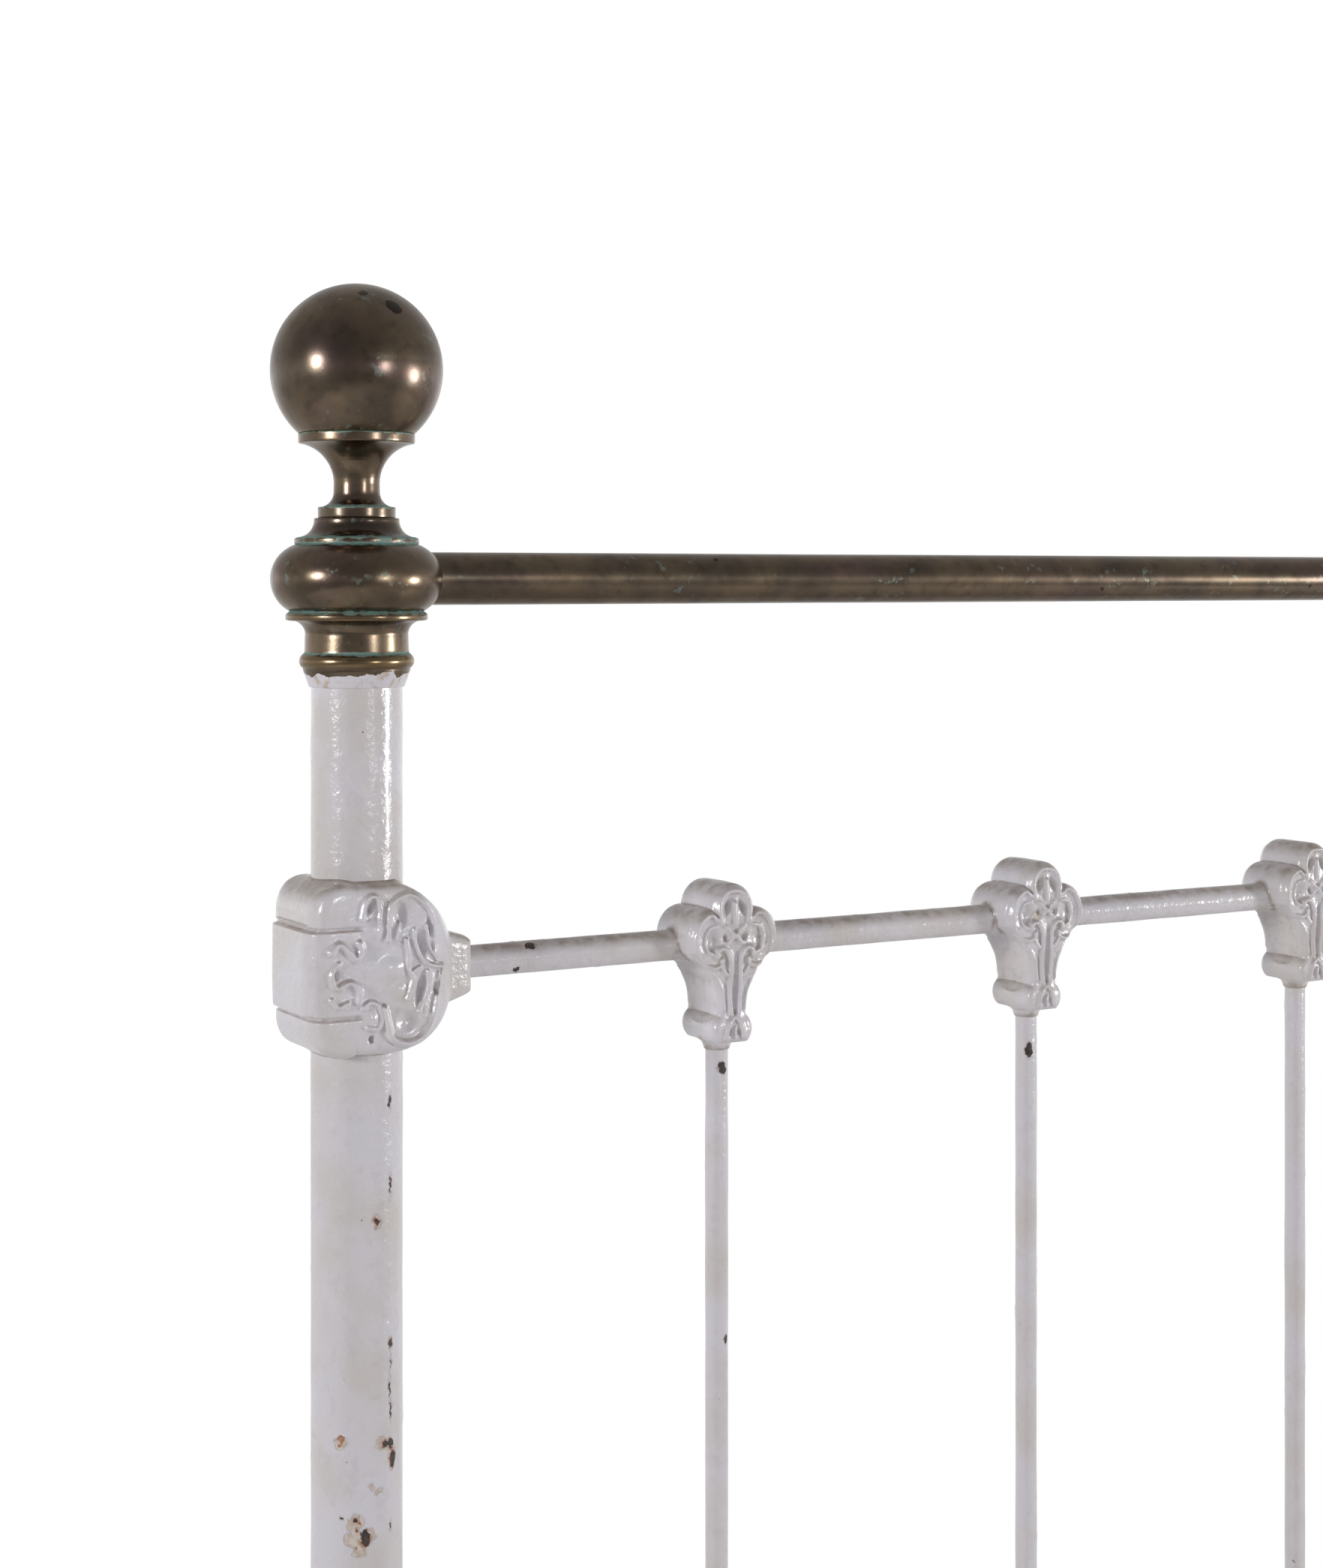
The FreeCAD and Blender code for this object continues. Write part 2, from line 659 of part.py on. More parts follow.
def side_iron(label, x, hand):
    """An angle iron with a rivet hole for each lath."""
    bar = slab(f"{label}_bar", "XZ_Plane", angle_outline(hand), iron_end * 2)
    place(bar, x=x, z=s.lower_rod_up)
    where = {"x": x + s.rivet_in * hand, "z": iron_foot - BEYOND}
    height = s.iron_thick + BEYOND * 2
    holes = [cylinder(f"{label}_hole", rivet_hole_radius, height, y=y, **where) for y in lath_places]
    return cut(label, bar, *holes)


def lath_pattern():
    """One flat lath across the bed, with a rivet hole at each end."""
    flat = block("lath_blank", (-lath_half, -s.lath_wide / 2, 0), (lath_half, s.lath_wide / 2, s.lath_thick))
    height = s.lath_thick + BEYOND * 2
    across = (-rivet_across, rivet_across)
    holes = [cylinder("lath_hole", rivet_hole_radius, height, x=x, z=-BEYOND) for x in across]
    return cut("lath_pattern", flat, *holes)


def rivet_pattern():
    """A rivet whose head is under the ledge and whose end stops just below the lath's face."""
    shank_tall = s.rivet_head_tall + s.iron_thick + s.lath_thick - s.rivet_sunk
    shank = cylinder("rivet_shank", s.rivet_dia / 2, shank_tall, z=-s.rivet_head_tall)
    head = doc.addObject("Part::Cone", "rivet_head")
    bind(head, "Radius1", (s.rivet_head_dia - s.rivet_head_tall) / 2)
    bind(head, "Radius2", s.rivet_head_dia / 2)
    bind(head, "Height", s.rivet_head_tall)
    place(head, z=-s.rivet_head_tall)
    return fuse("rivet_pattern", shank, head)


# ---------------------------------------------------------------- legs and casters


def ferrule_pattern():
    """The cast foot of a post: a collar under the tube, a spigot inside it, and the caster's socket."""
    bore = s.stem_dia / 2 + s.running_gap
    spigot = post_inside - s.seat_gap
    full = s.ferrule_tall + s.ferrule_spigot
    return turned(
        "ferrule_pattern",
        [
            (bore, 0),
            (post_radius, 0),
            (post_radius, s.ferrule_tall, s.ferrule_proud),
            (spigot, s.ferrule_tall),
            (spigot, full),
            (0, full),
            (0, s.stem_tall + s.stem_gap),
            (bore, s.stem_tall + s.stem_gap),
        ],
    )


def horn_pattern():
    """The swivelling horn: stem, plate and two cheeks that reach back to the axle."""
    plate_foot = horn_top - s.plate_tall
    inner_half = s.wheel_wide / 2 + s.cheek_gap
    cheeks = slab(
        "horn_cheeks",
        "YZ_Plane",
        [
            (s.cheek_front, plate_foot + s.plate_tall / 2),
            (-s.cheek_back, plate_foot + s.plate_tall / 2),
            (-s.wheel_trail - s.eye_radius, s.wheel_radius),
            (-s.wheel_trail + s.eye_radius, s.wheel_radius, s.eye_radius),
        ],
        axle_half * 2,
    )
    reach = s.wheel_radius + s.wheel_trail
    slot = block("horn_slot", (-inner_half, -reach, 0), (inner_half, reach, plate_foot))
    plate = cylinder("horn_plate", s.plate_radius, s.plate_tall, z=plate_foot)
    stem = cylinder("horn_stem", s.stem_dia / 2, s.stem_tall + s.plate_tall, z=plate_foot)
    whole = fuse("horn_whole", cut("horn_fork", cheeks, slot), plate, stem)
    axle_hole = rod_along_x(
        "horn_axle_hole",
        s.axle_dia / 2 + s.seat_gap,
        -axle_half - BEYOND,
        (axle_half + BEYOND) * 2,
        y=-s.wheel_trail,
        z=s.wheel_radius,
    )
    return cut("horn_pattern", whole, axle_hole)


def axle_pattern():
    """The axle, with a head outside each cheek."""
    where = {"y": -s.wheel_trail, "z": s.wheel_radius}
    pin = rod_along_x("axle_pin", s.axle_dia / 2, -axle_half, axle_half * 2, **where)
    heads = [
        rod_along_x("axle_head", s.axle_head_dia / 2, start, s.axle_head_tall, **where)
        for start in (axle_half, -axle_half - s.axle_head_tall)
    ]
    return fuse("axle_pattern", pin, *heads)


def wheel_pattern():
    """A plain wheel with a flat tread and bevelled edges, on the axle's axis."""
    bore = s.axle_dia / 2 + s.running_gap
    half, bevel = s.wheel_wide / 2, s.wheel_bevel
    wheel = turned(
        "wheel_pattern",
        [
            (bore, -half),
            (s.wheel_radius - bevel, -half),
            (s.wheel_radius, -half + bevel),
            (s.wheel_radius, half - bevel),
            (s.wheel_radius - bevel, half),
            (bore, half),
        ],
    )
    return place(wheel, y=-s.wheel_trail, z=s.wheel_radius, axis=(0, 1, 0), angle=90)


# ---------------------------------------------------------------- patterns that many pieces share

ball = ball_pattern()
neck = neck_pattern()
knob = knob_pattern()
small_casting = small_casting_pattern()
corner = corner_blank()
upper_corner = cut("upper_corner_pattern", corner, post_hole("upper"), rod_hole("upper"))

socket_floor_up = s.socket_floor - socket_half
slot = dovetail("socket_slot", socket_floor_up, ease=0)
long_tail = dovetail("long_tail", socket_floor_up + s.hook_gap, ease=s.hook_gap)
above_hook = block(
    "above_hook",
    (-s.socket_wide, -s.socket_deep, hook_half),
    (s.socket_wide, s.socket_deep, socket_half * 2),
)
tail = cut("hook_tail", long_tail, above_hook)
hooks = {hand: hook_pattern(f"{name}_hook", hand, tail) for name, hand in HANDS.items()}
sockets = {hand: socket_pattern(f"{name}_socket", corner, hand, slot) for name, hand in HANDS.items()}
ferrule = ferrule_pattern()
horn = horn_pattern()
axle = axle_pattern()
wheel = wheel_pattern()
lath = lath_pattern()
rivet = rivet_pattern()


# ---------------------------------------------------------------- the assembly


def build_post(end, side):
    """A post with its finial, its castings, the hook that hangs in its socket, and its caster. Returns
    the three hidden pieces that share nodes with the other posts': stud, plug and ferrule."""
    y, rail_up = ENDS[end]
    x, turn = SIDES[side]
    here = {"x": x, "y": y}
    post_top = rail_up - s.post_in_knob
    plug_foot = post_top - s.plug_tall
    tube = cylinder(f"{end}_{side}_tube", post_radius, post_top - post_foot, z=post_foot, **here)
    hollow = cylinder(f"{end}_{side}_hollow", post_inside, post_top - post_foot, z=post_foot, **here)
    node(cut(f"{end}_{side}_post", tube, hollow), f"{end}_post_{side}")

    def piece(pattern, part, z=0, angle=0):
        label = f"{end}_{part}_{side}"
        node(copy_of(pattern, f"{label}_copy", z=z, angle=angle, **here), label)

    piece(knob, "rail_knob", rail_up, turn)
    piece(neck, "finial_neck", rail_up + knob_top)
    piece(ball, "finial_ball", rail_up + knob_top + s.neck_tall)
    piece(upper_corner, "upper_corner_casting", rail_up - s.upper_rod_drop, turn)
    # the lower corner faces the other end of the bed, so its hand depends on both end and side
    hand = RIGHT_HAND if (side == "left") == (end == "head") else LEFT_HAND
    facing = 0 if end == "head" else HALF_TURN
    piece(sockets[hand], "lower_corner_casting", s.lower_rod_up, facing)
    piece(hooks[hand], "side_iron_hook", s.lower_rod_up, facing)
    piece(horn, "caster_horn")
    piece(axle, "caster_axle")
    piece(wheel, "caster_wheel")

    plug = cylinder("plug_blank", post_inside - s.seat_gap, s.plug_tall, z=plug_foot, **here)
    plug_hole = cylinder("plug_hole", stud_hole_radius, s.plug_tall, z=plug_foot, **here)
    stud_tall = s.plug_tall + s.post_in_knob + knob_top + neck_full
    return (
        cylinder("stud", s.stud_dia / 2, stud_tall, z=plug_foot, **here),
        cut("plug", plug, plug_hole),
        copy_of(ferrule, "ferrule", z=ferrule_foot, **here),
    )


def build_end(end):
    """The brass rail, the two rods, and the spindles between them with a casting at each crossing."""
    y, rail_up = ENDS[end]
    upper_rod_up = rail_up - s.upper_rod_drop
    node(brass_rail(f"{end}_rail", y, rail_up), f"{end}_brass_rail")
    rod = {"start": rod_stop - HALF_WIDTH, "length": s.width_centres - rod_stop * 2, "y": y}
    node(rod_along_x(f"{end}_upper", rod_radius, z=upper_rod_up, **rod), f"{end}_upper_rod")
    node(rod_along_x(f"{end}_lower", rod_radius, z=s.lower_rod_up, **rod), f"{end}_lower_rod")
    foot = s.lower_rod_up + spindle_stop
    tall = upper_rod_up - spindle_stop - foot
    upside_down = {"z": s.lower_rod_up, "axis": (0, 1, 0), "angle": HALF_TURN}
    spindles, uppers, lowers = [], [], []
    for i in range(1, SPINDLES + 1):
        here = {"x": SPINDLE_PITCH * i - HALF_WIDTH, "y": y}
        spindles.append(cylinder(f"{end}_spindle", s.spindle_dia / 2, tall, z=foot, **here))
        uppers.append(copy_of(small_casting, f"{end}_upper_casting", z=upper_rod_up, **here))
        lowers.append(copy_of(small_casting, f"{end}_lower_casting", **here, **upside_down))
    group_node(spindles, f"{end}_spindles")
    group_node(uppers, f"{end}_upper_castings")
    group_node(lowers, f"{end}_lower_castings")


def build_base():
    """The side irons and the laths that are riveted to their ledges."""
    node(side_iron("left_iron", -HALF_WIDTH, RIGHT_HAND), "side_iron_left")
    node(side_iron("right_iron", HALF_WIDTH, LEFT_HAND), "side_iron_right")
    group_node([copy_of(lath, "lath", y=y, z=ledge_top) for y in lath_places], "cross_laths")
    across = (-rivet_across, rivet_across)
    rivets = [copy_of(rivet, "rivet", x=x, y=y, z=iron_foot) for y in lath_places for x in across]
    group_node(rivets, "lath_rivets")


hidden = []
for end in ENDS:
    hidden += [build_post(end, side) for side in SIDES]
    build_end(end)
build_base()
for label, pieces in zip(("finial_studs", "post_plugs", "leg_ferrules"), zip(*hidden)):
    group_node(pieces, label)


# ---------------------------------------------------------------- check and write

doc.recompute()
failed = [o.Name for o in doc.Objects if {"Invalid", "Error"} & set(o.State)]
if failed:
    raise RuntimeError(f"these objects failed: {failed}")
os.makedirs("parts", exist_ok=True)
for thing in nodes:
    shape = thing.Shape
    if shape.isNull() or not shape.isValid() or not shape.Solids:
        raise RuntimeError(f"{thing.Label} has no sound shape")
    shape.exportStep(os.path.join("parts", f"{thing.Label}.step"))
print(len(nodes), "nodes,", sum(len(thing.Shape.Solids) for thing in nodes), "solids")
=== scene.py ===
import json
import math

import bpy
import numpy as np
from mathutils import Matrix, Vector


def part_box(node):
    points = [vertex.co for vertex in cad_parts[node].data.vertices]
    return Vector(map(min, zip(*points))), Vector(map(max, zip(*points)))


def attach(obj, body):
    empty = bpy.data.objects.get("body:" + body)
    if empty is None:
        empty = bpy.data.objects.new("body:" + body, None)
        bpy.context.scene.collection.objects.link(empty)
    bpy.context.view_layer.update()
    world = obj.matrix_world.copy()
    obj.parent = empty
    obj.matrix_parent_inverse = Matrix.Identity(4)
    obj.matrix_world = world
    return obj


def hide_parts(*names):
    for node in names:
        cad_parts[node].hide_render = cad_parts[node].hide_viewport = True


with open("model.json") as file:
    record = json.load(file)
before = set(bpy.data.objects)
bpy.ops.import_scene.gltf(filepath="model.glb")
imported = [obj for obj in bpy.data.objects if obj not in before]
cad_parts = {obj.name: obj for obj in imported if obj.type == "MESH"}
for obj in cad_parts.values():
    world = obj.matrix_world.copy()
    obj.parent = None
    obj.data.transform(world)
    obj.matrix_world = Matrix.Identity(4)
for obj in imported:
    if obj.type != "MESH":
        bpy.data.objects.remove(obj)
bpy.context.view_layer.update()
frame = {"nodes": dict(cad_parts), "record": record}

import openvdb
from mathutils import Vector

# Looks of an iron and brass bed: thickly painted tubes and rods, cast joints with scrolled relief, turned
# brass with a dark patina, chipped side irons, rusty laths and worn china casters.
#
# Shapes are in millimetres, in the same frame as the CAD, until they are written to a mesh in metres.

MM = 0.001
ENDS = ("head", "foot")
SIDES = ("left", "right")
SPINDLES = 7
LATHS = 11
LATH_WIDE = 32
RIVET_HEAD = 6
RIVET_HOLE = 3.1
IRON_THICK = 4.5
COLLAR_TALL = 13
STEM_TOP = 83
SWIVEL_GAP = 0.3
AXLE_BORE = 3.1

# faces that meet at more degrees than this keep a crisp edge
SHARP_ANGLE = 48
# a turned profile's radius where it closes on its axis
ON_AXIS = 0.01
# a distance out of reach of everything
FAR = 99

BODY_OF = {n: body for body, names in frame["record"]["behaviour"]["bodies"].items() for n in names}


# ---------------------------------------------------------------- places, from the frame


def box(node):
    """Lowest and highest corner of a CAD node, in millimetres."""
    low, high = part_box(node)
    return np.array(low) / MM, np.array(high) / MM


def middle(node):
    low, high = box(node)
    return (low + high) / 2


def spread(low, high, count):
    """Evenly spaced places from low to high."""
    return [low + (high - low) * i / (count - 1) for i in range(count)]


# ---------------------------------------------------------------- noise


def lattice(x, y, z, seed):
    """A repeatable number from 0 to 1 for each whole-numbered point."""
    mixed = np.sin(x * 127.1 + y * 311.7 + z * 74.7 + seed * 53.3) * 43758.5453
    return mixed - np.floor(mixed)


def noise(points, size, seed=0):
    """Smooth noise from -1 to 1 at each point, with bumps about `size` across."""
    place = points / size
    cell = np.floor(place)
    share = place - cell
    share = share * share * (3 - 2 * share)
    total = 0
    for dx in (0, 1):
        for dy in (0, 1):
            for dz in (0, 1):
                weight = np.prod(np.where((dx, dy, dz), share, 1 - share), axis=1)
                total = total + weight * lattice(cell[:, 0] + dx, cell[:, 1] + dy, cell[:, 2] + dz, seed)
    return total * 2 - 1


# ---------------------------------------------------------------- shapes


class Shape:
    """Points in millimetres, the quads and triangles between them, and a value or more for each point."""

    def __init__(self, points, quads=(), triangles=(), **values):
        self.points = np.asarray(points, float).reshape(-1, 3)
        self.quads = np.asarray(quads, np.int64).reshape(-1, 4)
        self.triangles = np.asarray(triangles, np.int64).reshape(-1, 3)
        self.values = values

    def with_points(self, points):
        return Shape(points, self.quads, self.triangles, **self.values)

    def moved(self, x=0, y=0, z=0):
        return self.with_points(self.points + (x, y, z))

    def flipped(self):
        return Shape(self.points, self.quads[:, ::-1], self.triangles[:, ::-1], **self.values)

    def mirrored(self):
        """The same, with left and right exchanged."""
        return self.with_points(self.points * (-1, 1, 1)).flipped()

    def turned(self, axis, angle):
        """The same, turned about an axis through the origin, in degrees."""
        first, second = [(1, 2), (2, 0), (0, 1)]["xyz".index(axis)]
        c, s = math.cos(math.radians(angle)), math.sin(math.radians(angle))
        points = self.points.copy()
        points[:, first] = self.points[:, first] * c - self.points[:, second] * s
        points[:, second] = self.points[:, first] * s + self.points[:, second] * c
        return self.with_points(points)

    def normals(self):
        """A unit vector for each point, out of the surface."""
        corners = self.points[self.quads]
        total = np.zeros_like(self.points)
        outward = np.cross(corners[:, 2] - corners[:, 0], corners[:, 3] - corners[:, 1])
        for corner in range(4):
            add_up(total, self.quads[:, corner], outward)
        corners = self.points[self.triangles]
        outward = np.cross(corners[:, 1] - corners[:, 0], corners[:, 2] - corners[:, 0])
        for corner in range(3):
            add_up(total, self.triangles[:, corner], outward)
        length = np.linalg.norm(total, axis=1, keepdims=True)
        return total / np.maximum(length, 1e-12)

    def swollen(self, amount):
        """The same, with each point moved out along its normal."""
        return self.with_points(self.points + self.normals() * np.asarray(amount).reshape(-1, 1))

    def uneven(self, size, amount, seed=0):
        """The same, with bumps and hollows about `size` across."""
        return self.swollen(noise(self.points, size, seed) * amount)

    def edges(self):
        """The index of both ends of each side of each face, in both directions."""
        around = [self.quads, self.triangles]
        starts = np.concatenate([faces.ravel() for faces in around])
        stops = np.concatenate([np.roll(faces, -1, axis=1).ravel() for faces in around])
        return np.concatenate([starts, stops]), np.concatenate([stops, starts])

    def with_cavity(self, rounds):
        """The same, with how deep each point lies in a hollow, which is negative on a ridge."""
        starts, stops = self.edges()
        count = np.bincount(starts, minlength=len(self.points)).reshape(-1, 1)
        smooth = self.points
        for _ in range(rounds):
            total = np.zeros_like(smooth)
            add_up(total, starts, smooth[stops])
            smooth = (smooth + total / np.maximum(count, 1)) / 2
        depth = np.einsum("ij,ij->i", smooth - self.points, self.normals())
        return Shape(self.points, self.quads, self.triangles, **self.values, cavity=depth)


def add_up(total, index, amounts):
    """total[index] += amounts, also where an index comes back."""
    for axis in range(3):
        total[:, axis] += np.bincount(index, amounts[:, axis], len(total))


def joined(shapes):
    """One shape of several, which keep their own values."""
    starts = np.cumsum([0] + [len(shape.points) for shape in shapes])
    names = shapes[0].values
    return Shape(
        np.concatenate([shape.points for shape in shapes]),
        np.concatenate([shape.quads + start for shape, start in zip(shapes, starts)]),
        np.concatenate([shape.triangles + start for shape, start in zip(shapes, starts)]),
        **{name: np.concatenate([shape.values[name] for shape in shapes]) for name in names},
    )


def mesh_of(name, shape):
    """A Blender mesh, in metres."""
    corners = [shape.quads, shape.triangles]
    counts = np.concatenate([np.full(len(faces), faces.shape[1]) for faces in corners])
    mesh = bpy.data.meshes.new(name)
    mesh.vertices.add(len(shape.points))
    mesh.vertices.foreach_set("co", (shape.points * MM).astype(np.float32).ravel())
    mesh.loops.add(int(counts.sum()))
    mesh.loops.foreach_set("vertex_index", np.concatenate([c.ravel() for c in corners]).astype(np.int32))
    mesh.polygons.add(len(counts))
    mesh.polygons.foreach_set("loop_start", (np.cumsum(counts) - counts).astype(np.int32))
    mesh.polygons.foreach_set("use_smooth", np.ones(len(counts), bool))
    for value, amounts in shape.values.items():
        attribute = mesh.attributes.new(value, "FLOAT", "POINT")
        attribute.data.foreach_set("value", np.asarray(amounts, np.float32))
    mesh.update(calc_edges=True)
    mesh.validate()
    mesh.set_sharp_from_angle(angle=math.radians(SHARP_ANGLE))
    return mesh


def shape_of(mesh):
    """A shape from a Blender mesh, without its values."""
    mesh.calc_loop_triangles()
    points = np.zeros(len(mesh.vertices) * 3, np.float32)
    mesh.vertices.foreach_get("co", points)
    triangles = np.zeros(len(mesh.loop_triangles) * 3, np.int32)
    mesh.loop_triangles.foreach_get("vertices", triangles)
    return Shape(points / MM, triangles=triangles)


def placed(name, data):
    """A new object in the scene."""
    thing = bpy.data.objects.new(name, data)
    bpy.context.scene.collection.objects.link(thing)
    return thing


def with_modifier(shape, kind, **settings):
    """The shape after one Blender modifier."""
    thing = placed("unfinished", mesh_of("unfinished", shape))
    modifier = thing.modifiers.new(kind, kind)
    for name, value in settings.items():
        setattr(modifier, name, value)
    finished = thing.evaluated_get(bpy.context.evaluated_depsgraph_get())
    result = shape_of(finished.to_mesh())
    finished.to_mesh_clear()
    bpy.data.objects.remove(thing)
    return result


def thinned(shape, triangles):
    """The shape with about that many triangles, which gather where the surface bends."""
    have = len(shape.quads) * 2 + len(shape.triangles)
    return with_modifier(shape, "DECIMATE", ratio=min(1, triangles / have))


def bored(shape, drill):
    """The shape with the drill's holes in it."""
    tool = placed("drill", mesh_of("drill", drill))
    result = with_modifier(shape, "BOOLEAN", operation="DIFFERENCE", solver="EXACT", object=tool)
    bpy.data.objects.remove(tool)
    return result


# ---------------------------------------------------------------- lines, turned and drawn-out shapes


def arc(start, end, rise):
    """Points of an arc after start, up to and with end. It bulges by rise to the right of the way."""
    start, end = np.array(start, float), np.array(end, float)
    if rise == 0:
        return [end]
    steps = max(8, math.ceil(abs(rise) * 3))
    chord = end - start
    half = np.linalg.norm(chord) / 2
    out = np.array([chord[1], -chord[0]]) / (half * 2)
    radius = (half * half + rise * rise) / (2 * rise)
    centre = (start + end) / 2 + out * (rise - radius)
    reach = start - centre
    sweep = 4 * math.atan(rise / half)
    points = []
    for i in range(1, steps + 1):
        c, s = math.cos(sweep * i / steps), math.sin(sweep * i / steps)
        points.append(centre + (reach[0] * c - reach[1] * s, reach[0] * s + reach[1] * c))
    return points


def drawn(corners, closed=False):
    """The points of a line whose corners are (across, up) or (across, up, bulge of the way there)."""
    points = [] if closed else [np.array(corners[0][:2], float)]
    pairs = zip(corners[-1:] + corners[:-1], corners) if closed else zip(corners, corners[1:])
    for before, after in pairs:
        points += arc(before[:2], after[:2], after[2] if len(after) > 2 else 0)
    return np.array(points)


def eased(points, radius, steps=3):
    """The line with its sharp corners rounded."""
    result = [points[0]]
    for before, here, after in zip(points, points[1:], points[2:]):
        into, out = here - before, after - here
        lengths = np.linalg.norm(into), np.linalg.norm(out)
        turn = math.acos(np.clip(into @ out / (lengths[0] * lengths[1]), -1, 1))
        if turn < 0.5:
            result.append(here)
            continue
        cut = min(radius, lengths[0] * 0.45, lengths[1] * 0.45)
        a, b = here - into / lengths[0] * cut, here + out / lengths[1] * cut
        for i in range(steps + 1):
            t = i / steps
            result.append(a * (1 - t) ** 2 + here * 2 * t * (1 - t) + b * t * t)
    result.append(points[-1])
    return np.array(result)


def divided(points, spacing):
    """The line with more points, so that none is farther than spacing from the next."""
    result = [points[0]]
    for before, here in zip(points, points[1:]):
        parts = max(1, math.ceil(np.linalg.norm(here - before) / spacing))
        result += [before + (here - before) * i / parts for i in range(1, parts + 1)]
    return np.array(result)


def ring_quads(rings, around):
    """The quads between neighbours of so many rings, each a loop of `around` points."""
    start = np.arange(rings - 1)[:, None] * around
    here = start + np.arange(around)
    beside = start + np.roll(np.arange(around), -1)
    return np.stack([here, beside, beside + around, here + around], axis=2).reshape(-1, 4)


def lathe(profile, around):
    """A shape turned about Z from (radius, up) points that run upwards along its outside."""
    angles = np.arange(around) * 2 * math.pi / around
    ring = np.stack([np.cos(angles), np.sin(angles)], axis=1)
    radii, ups = profile[:, 0], profile[:, 1]
    flat = (radii[:, None, None] * ring[None]).reshape(-1, 2)
    points = np.column_stack([flat, np.repeat(ups, around)])
    return Shape(points, ring_quads(len(profile), around))


def bar(radius, length, spacing, around):
    """A round bar from the origin up along Z, with eased ends."""
    line = np.array([(ON_AXIS, 0), (radius, 0), (radius, length), (ON_AXIS, length)], float)
    return lathe(divided(eased(line, 0.5), spacing), around)


def drawn_out(outline, length, spacing):
    """A bar of constant outline along X, centred on the origin. The outline is (across, up) points,
    anticlockwise."""
    stations = np.linspace(-length / 2, length / 2, math.ceil(length / spacing) + 1)
    count = len(outline)
    points = np.array([(x, across, up) for x in stations for across, up in outline])
    centres = [points[:count].mean(axis=0), points[-count:].mean(axis=0)]
    first, last = len(points), len(points) + 1
    around, far = np.arange(count), np.arange(count) + (len(stations) - 1) * count
    caps = [(first, b, a) for a, b in zip(around, np.roll(around, -1))]
    caps += [(last, a, b) for a, b in zip(far, np.roll(far, -1))]
    return Shape(np.concatenate([points, centres]), ring_quads(len(stations), count), caps)


# ---------------------------------------------------------------- distance fields, for the castings

VOXEL = 0.5


def grid(low, high):
    """Grid coordinates along X, Y and Z, which broadcast against each other."""
    x, y, z = (np.arange(a, b + VOXEL, VOXEL) for a, b in zip(low, high))
    return x[:, None, None], y[None, :, None], z[None, None, :]


def skin(distance, low):
    """The surface where the distance is 0."""
    field = openvdb.FloatGrid()
    field.copyFromArray(distance.astype(np.float32))
    points, _, quads = field.convertToPolygons(0.0)
    shape = Shape(points * VOXEL + np.array(low), quads)
    outward = np.einsum("ij,ij->", shape.points - shape.points.mean(axis=0), shape.normals())
    return shape if outward > 0 else shape.flipped()


def blended(a, b, width):
    """The union of two distances, with a fillet."""
    near = np.clip(1 - np.abs(a - b) / width, 0, None)
    return np.minimum(a, b) - near * near * width / 4


def meeting(a, b, width):
    """The intersection of two distances, with a rounded edge."""
    return -blended(-a, -b, width)


def segment_distance(u, v, start, end):
    """Distance from (u, v) to a segment."""
    along = np.subtract(end, start)
    share = ((u - start[0]) * along[0] + (v - start[1]) * along[1]) / max(along @ along, 1e-12)
    share = np.clip(share, 0, 1)
    return np.hypot(u - start[0] - along[0] * share, v - start[1] - along[1] * share)


def line_distance(u, v, points):
    """Distance from (u, v) to a line of several points."""
    return np.minimum.reduce([segment_distance(u, v, a, b) for a, b in zip(points, points[1:])])


def outline_distance(u, v, points):
    """Distance from (u, v) to a closed outline, negative inside."""
    closed = np.concatenate([points, points[:1]])
    inside = np.zeros(np.broadcast(u, v).shape, bool)
    for (u0, v0), (u1, v1) in zip(closed, closed[1:]):
        if v0 != v1:
            crosses = (v0 <= v) != (v1 <= v)
            inside ^= crosses & (u < u0 + (v - v0) * (u1 - u0) / (v1 - v0))
    return np.where(inside, -1, 1) * line_distance(u, v, closed)


def block_distance(x, y, z, low, high, rounding):
    """Distance to a block with rounded edges."""
    reach = [
        np.abs(place - (a + b) / 2) - (b - a) / 2 + rounding for place, a, b in zip((x, y, z), low, high)
    ]
    beyond = np.sqrt(sum(np.maximum(r, 0) ** 2 for r in reach))
    return beyond + np.minimum(np.maximum(np.maximum(reach[0], reach[1]), reach[2]), 0) - rounding


def step(value, low, high):
    """Rises smoothly from 0 at low to 1 at high."""
    share = np.clip((value - low) / (high - low), 0, 1)
    return share * share * (3 - 2 * share)


def smooth_line(points, parts=6):
    """A smooth line through given points."""
    points = np.array(points, float)
    ends = np.concatenate([[2 * points[0] - points[1]], points, [2 * points[-1] - points[-2]]])
    result = [points[0]]
    for a, b, c, d in zip(ends, ends[1:], ends[2:], ends[3:]):
        for i in range(1, parts + 1):
            t = i / parts
            bend = 3 * (b - c) + d - a
            result.append(b + (c - a) * t / 2 + (2 * a - 5 * b + 4 * c - d) * t * t / 2 + bend * t**3 / 2)
    return result


def stroke(u, v, points, width, height):
    """A rounded ridge along a smooth line."""
    share = np.clip(line_distance(u, v, smooth_line(points)) / width, 0, 1)
    return height * (1 - share * share) ** 2


def dimple(u, v, centre, radii, tilt, height):
    """A rounded oval bump, or a hollow where the height is negative. It leans by tilt degrees."""
    c, s = math.cos(math.radians(tilt)), math.sin(math.radians(tilt))
    a = ((u - centre[0]) * c + (v - centre[1]) * s) / radii[0]
    b = ((v - centre[1]) * c - (u - centre[0]) * s) / radii[1]
    return height * (1 - np.clip(a * a + b * b, 0, 1)) ** 2


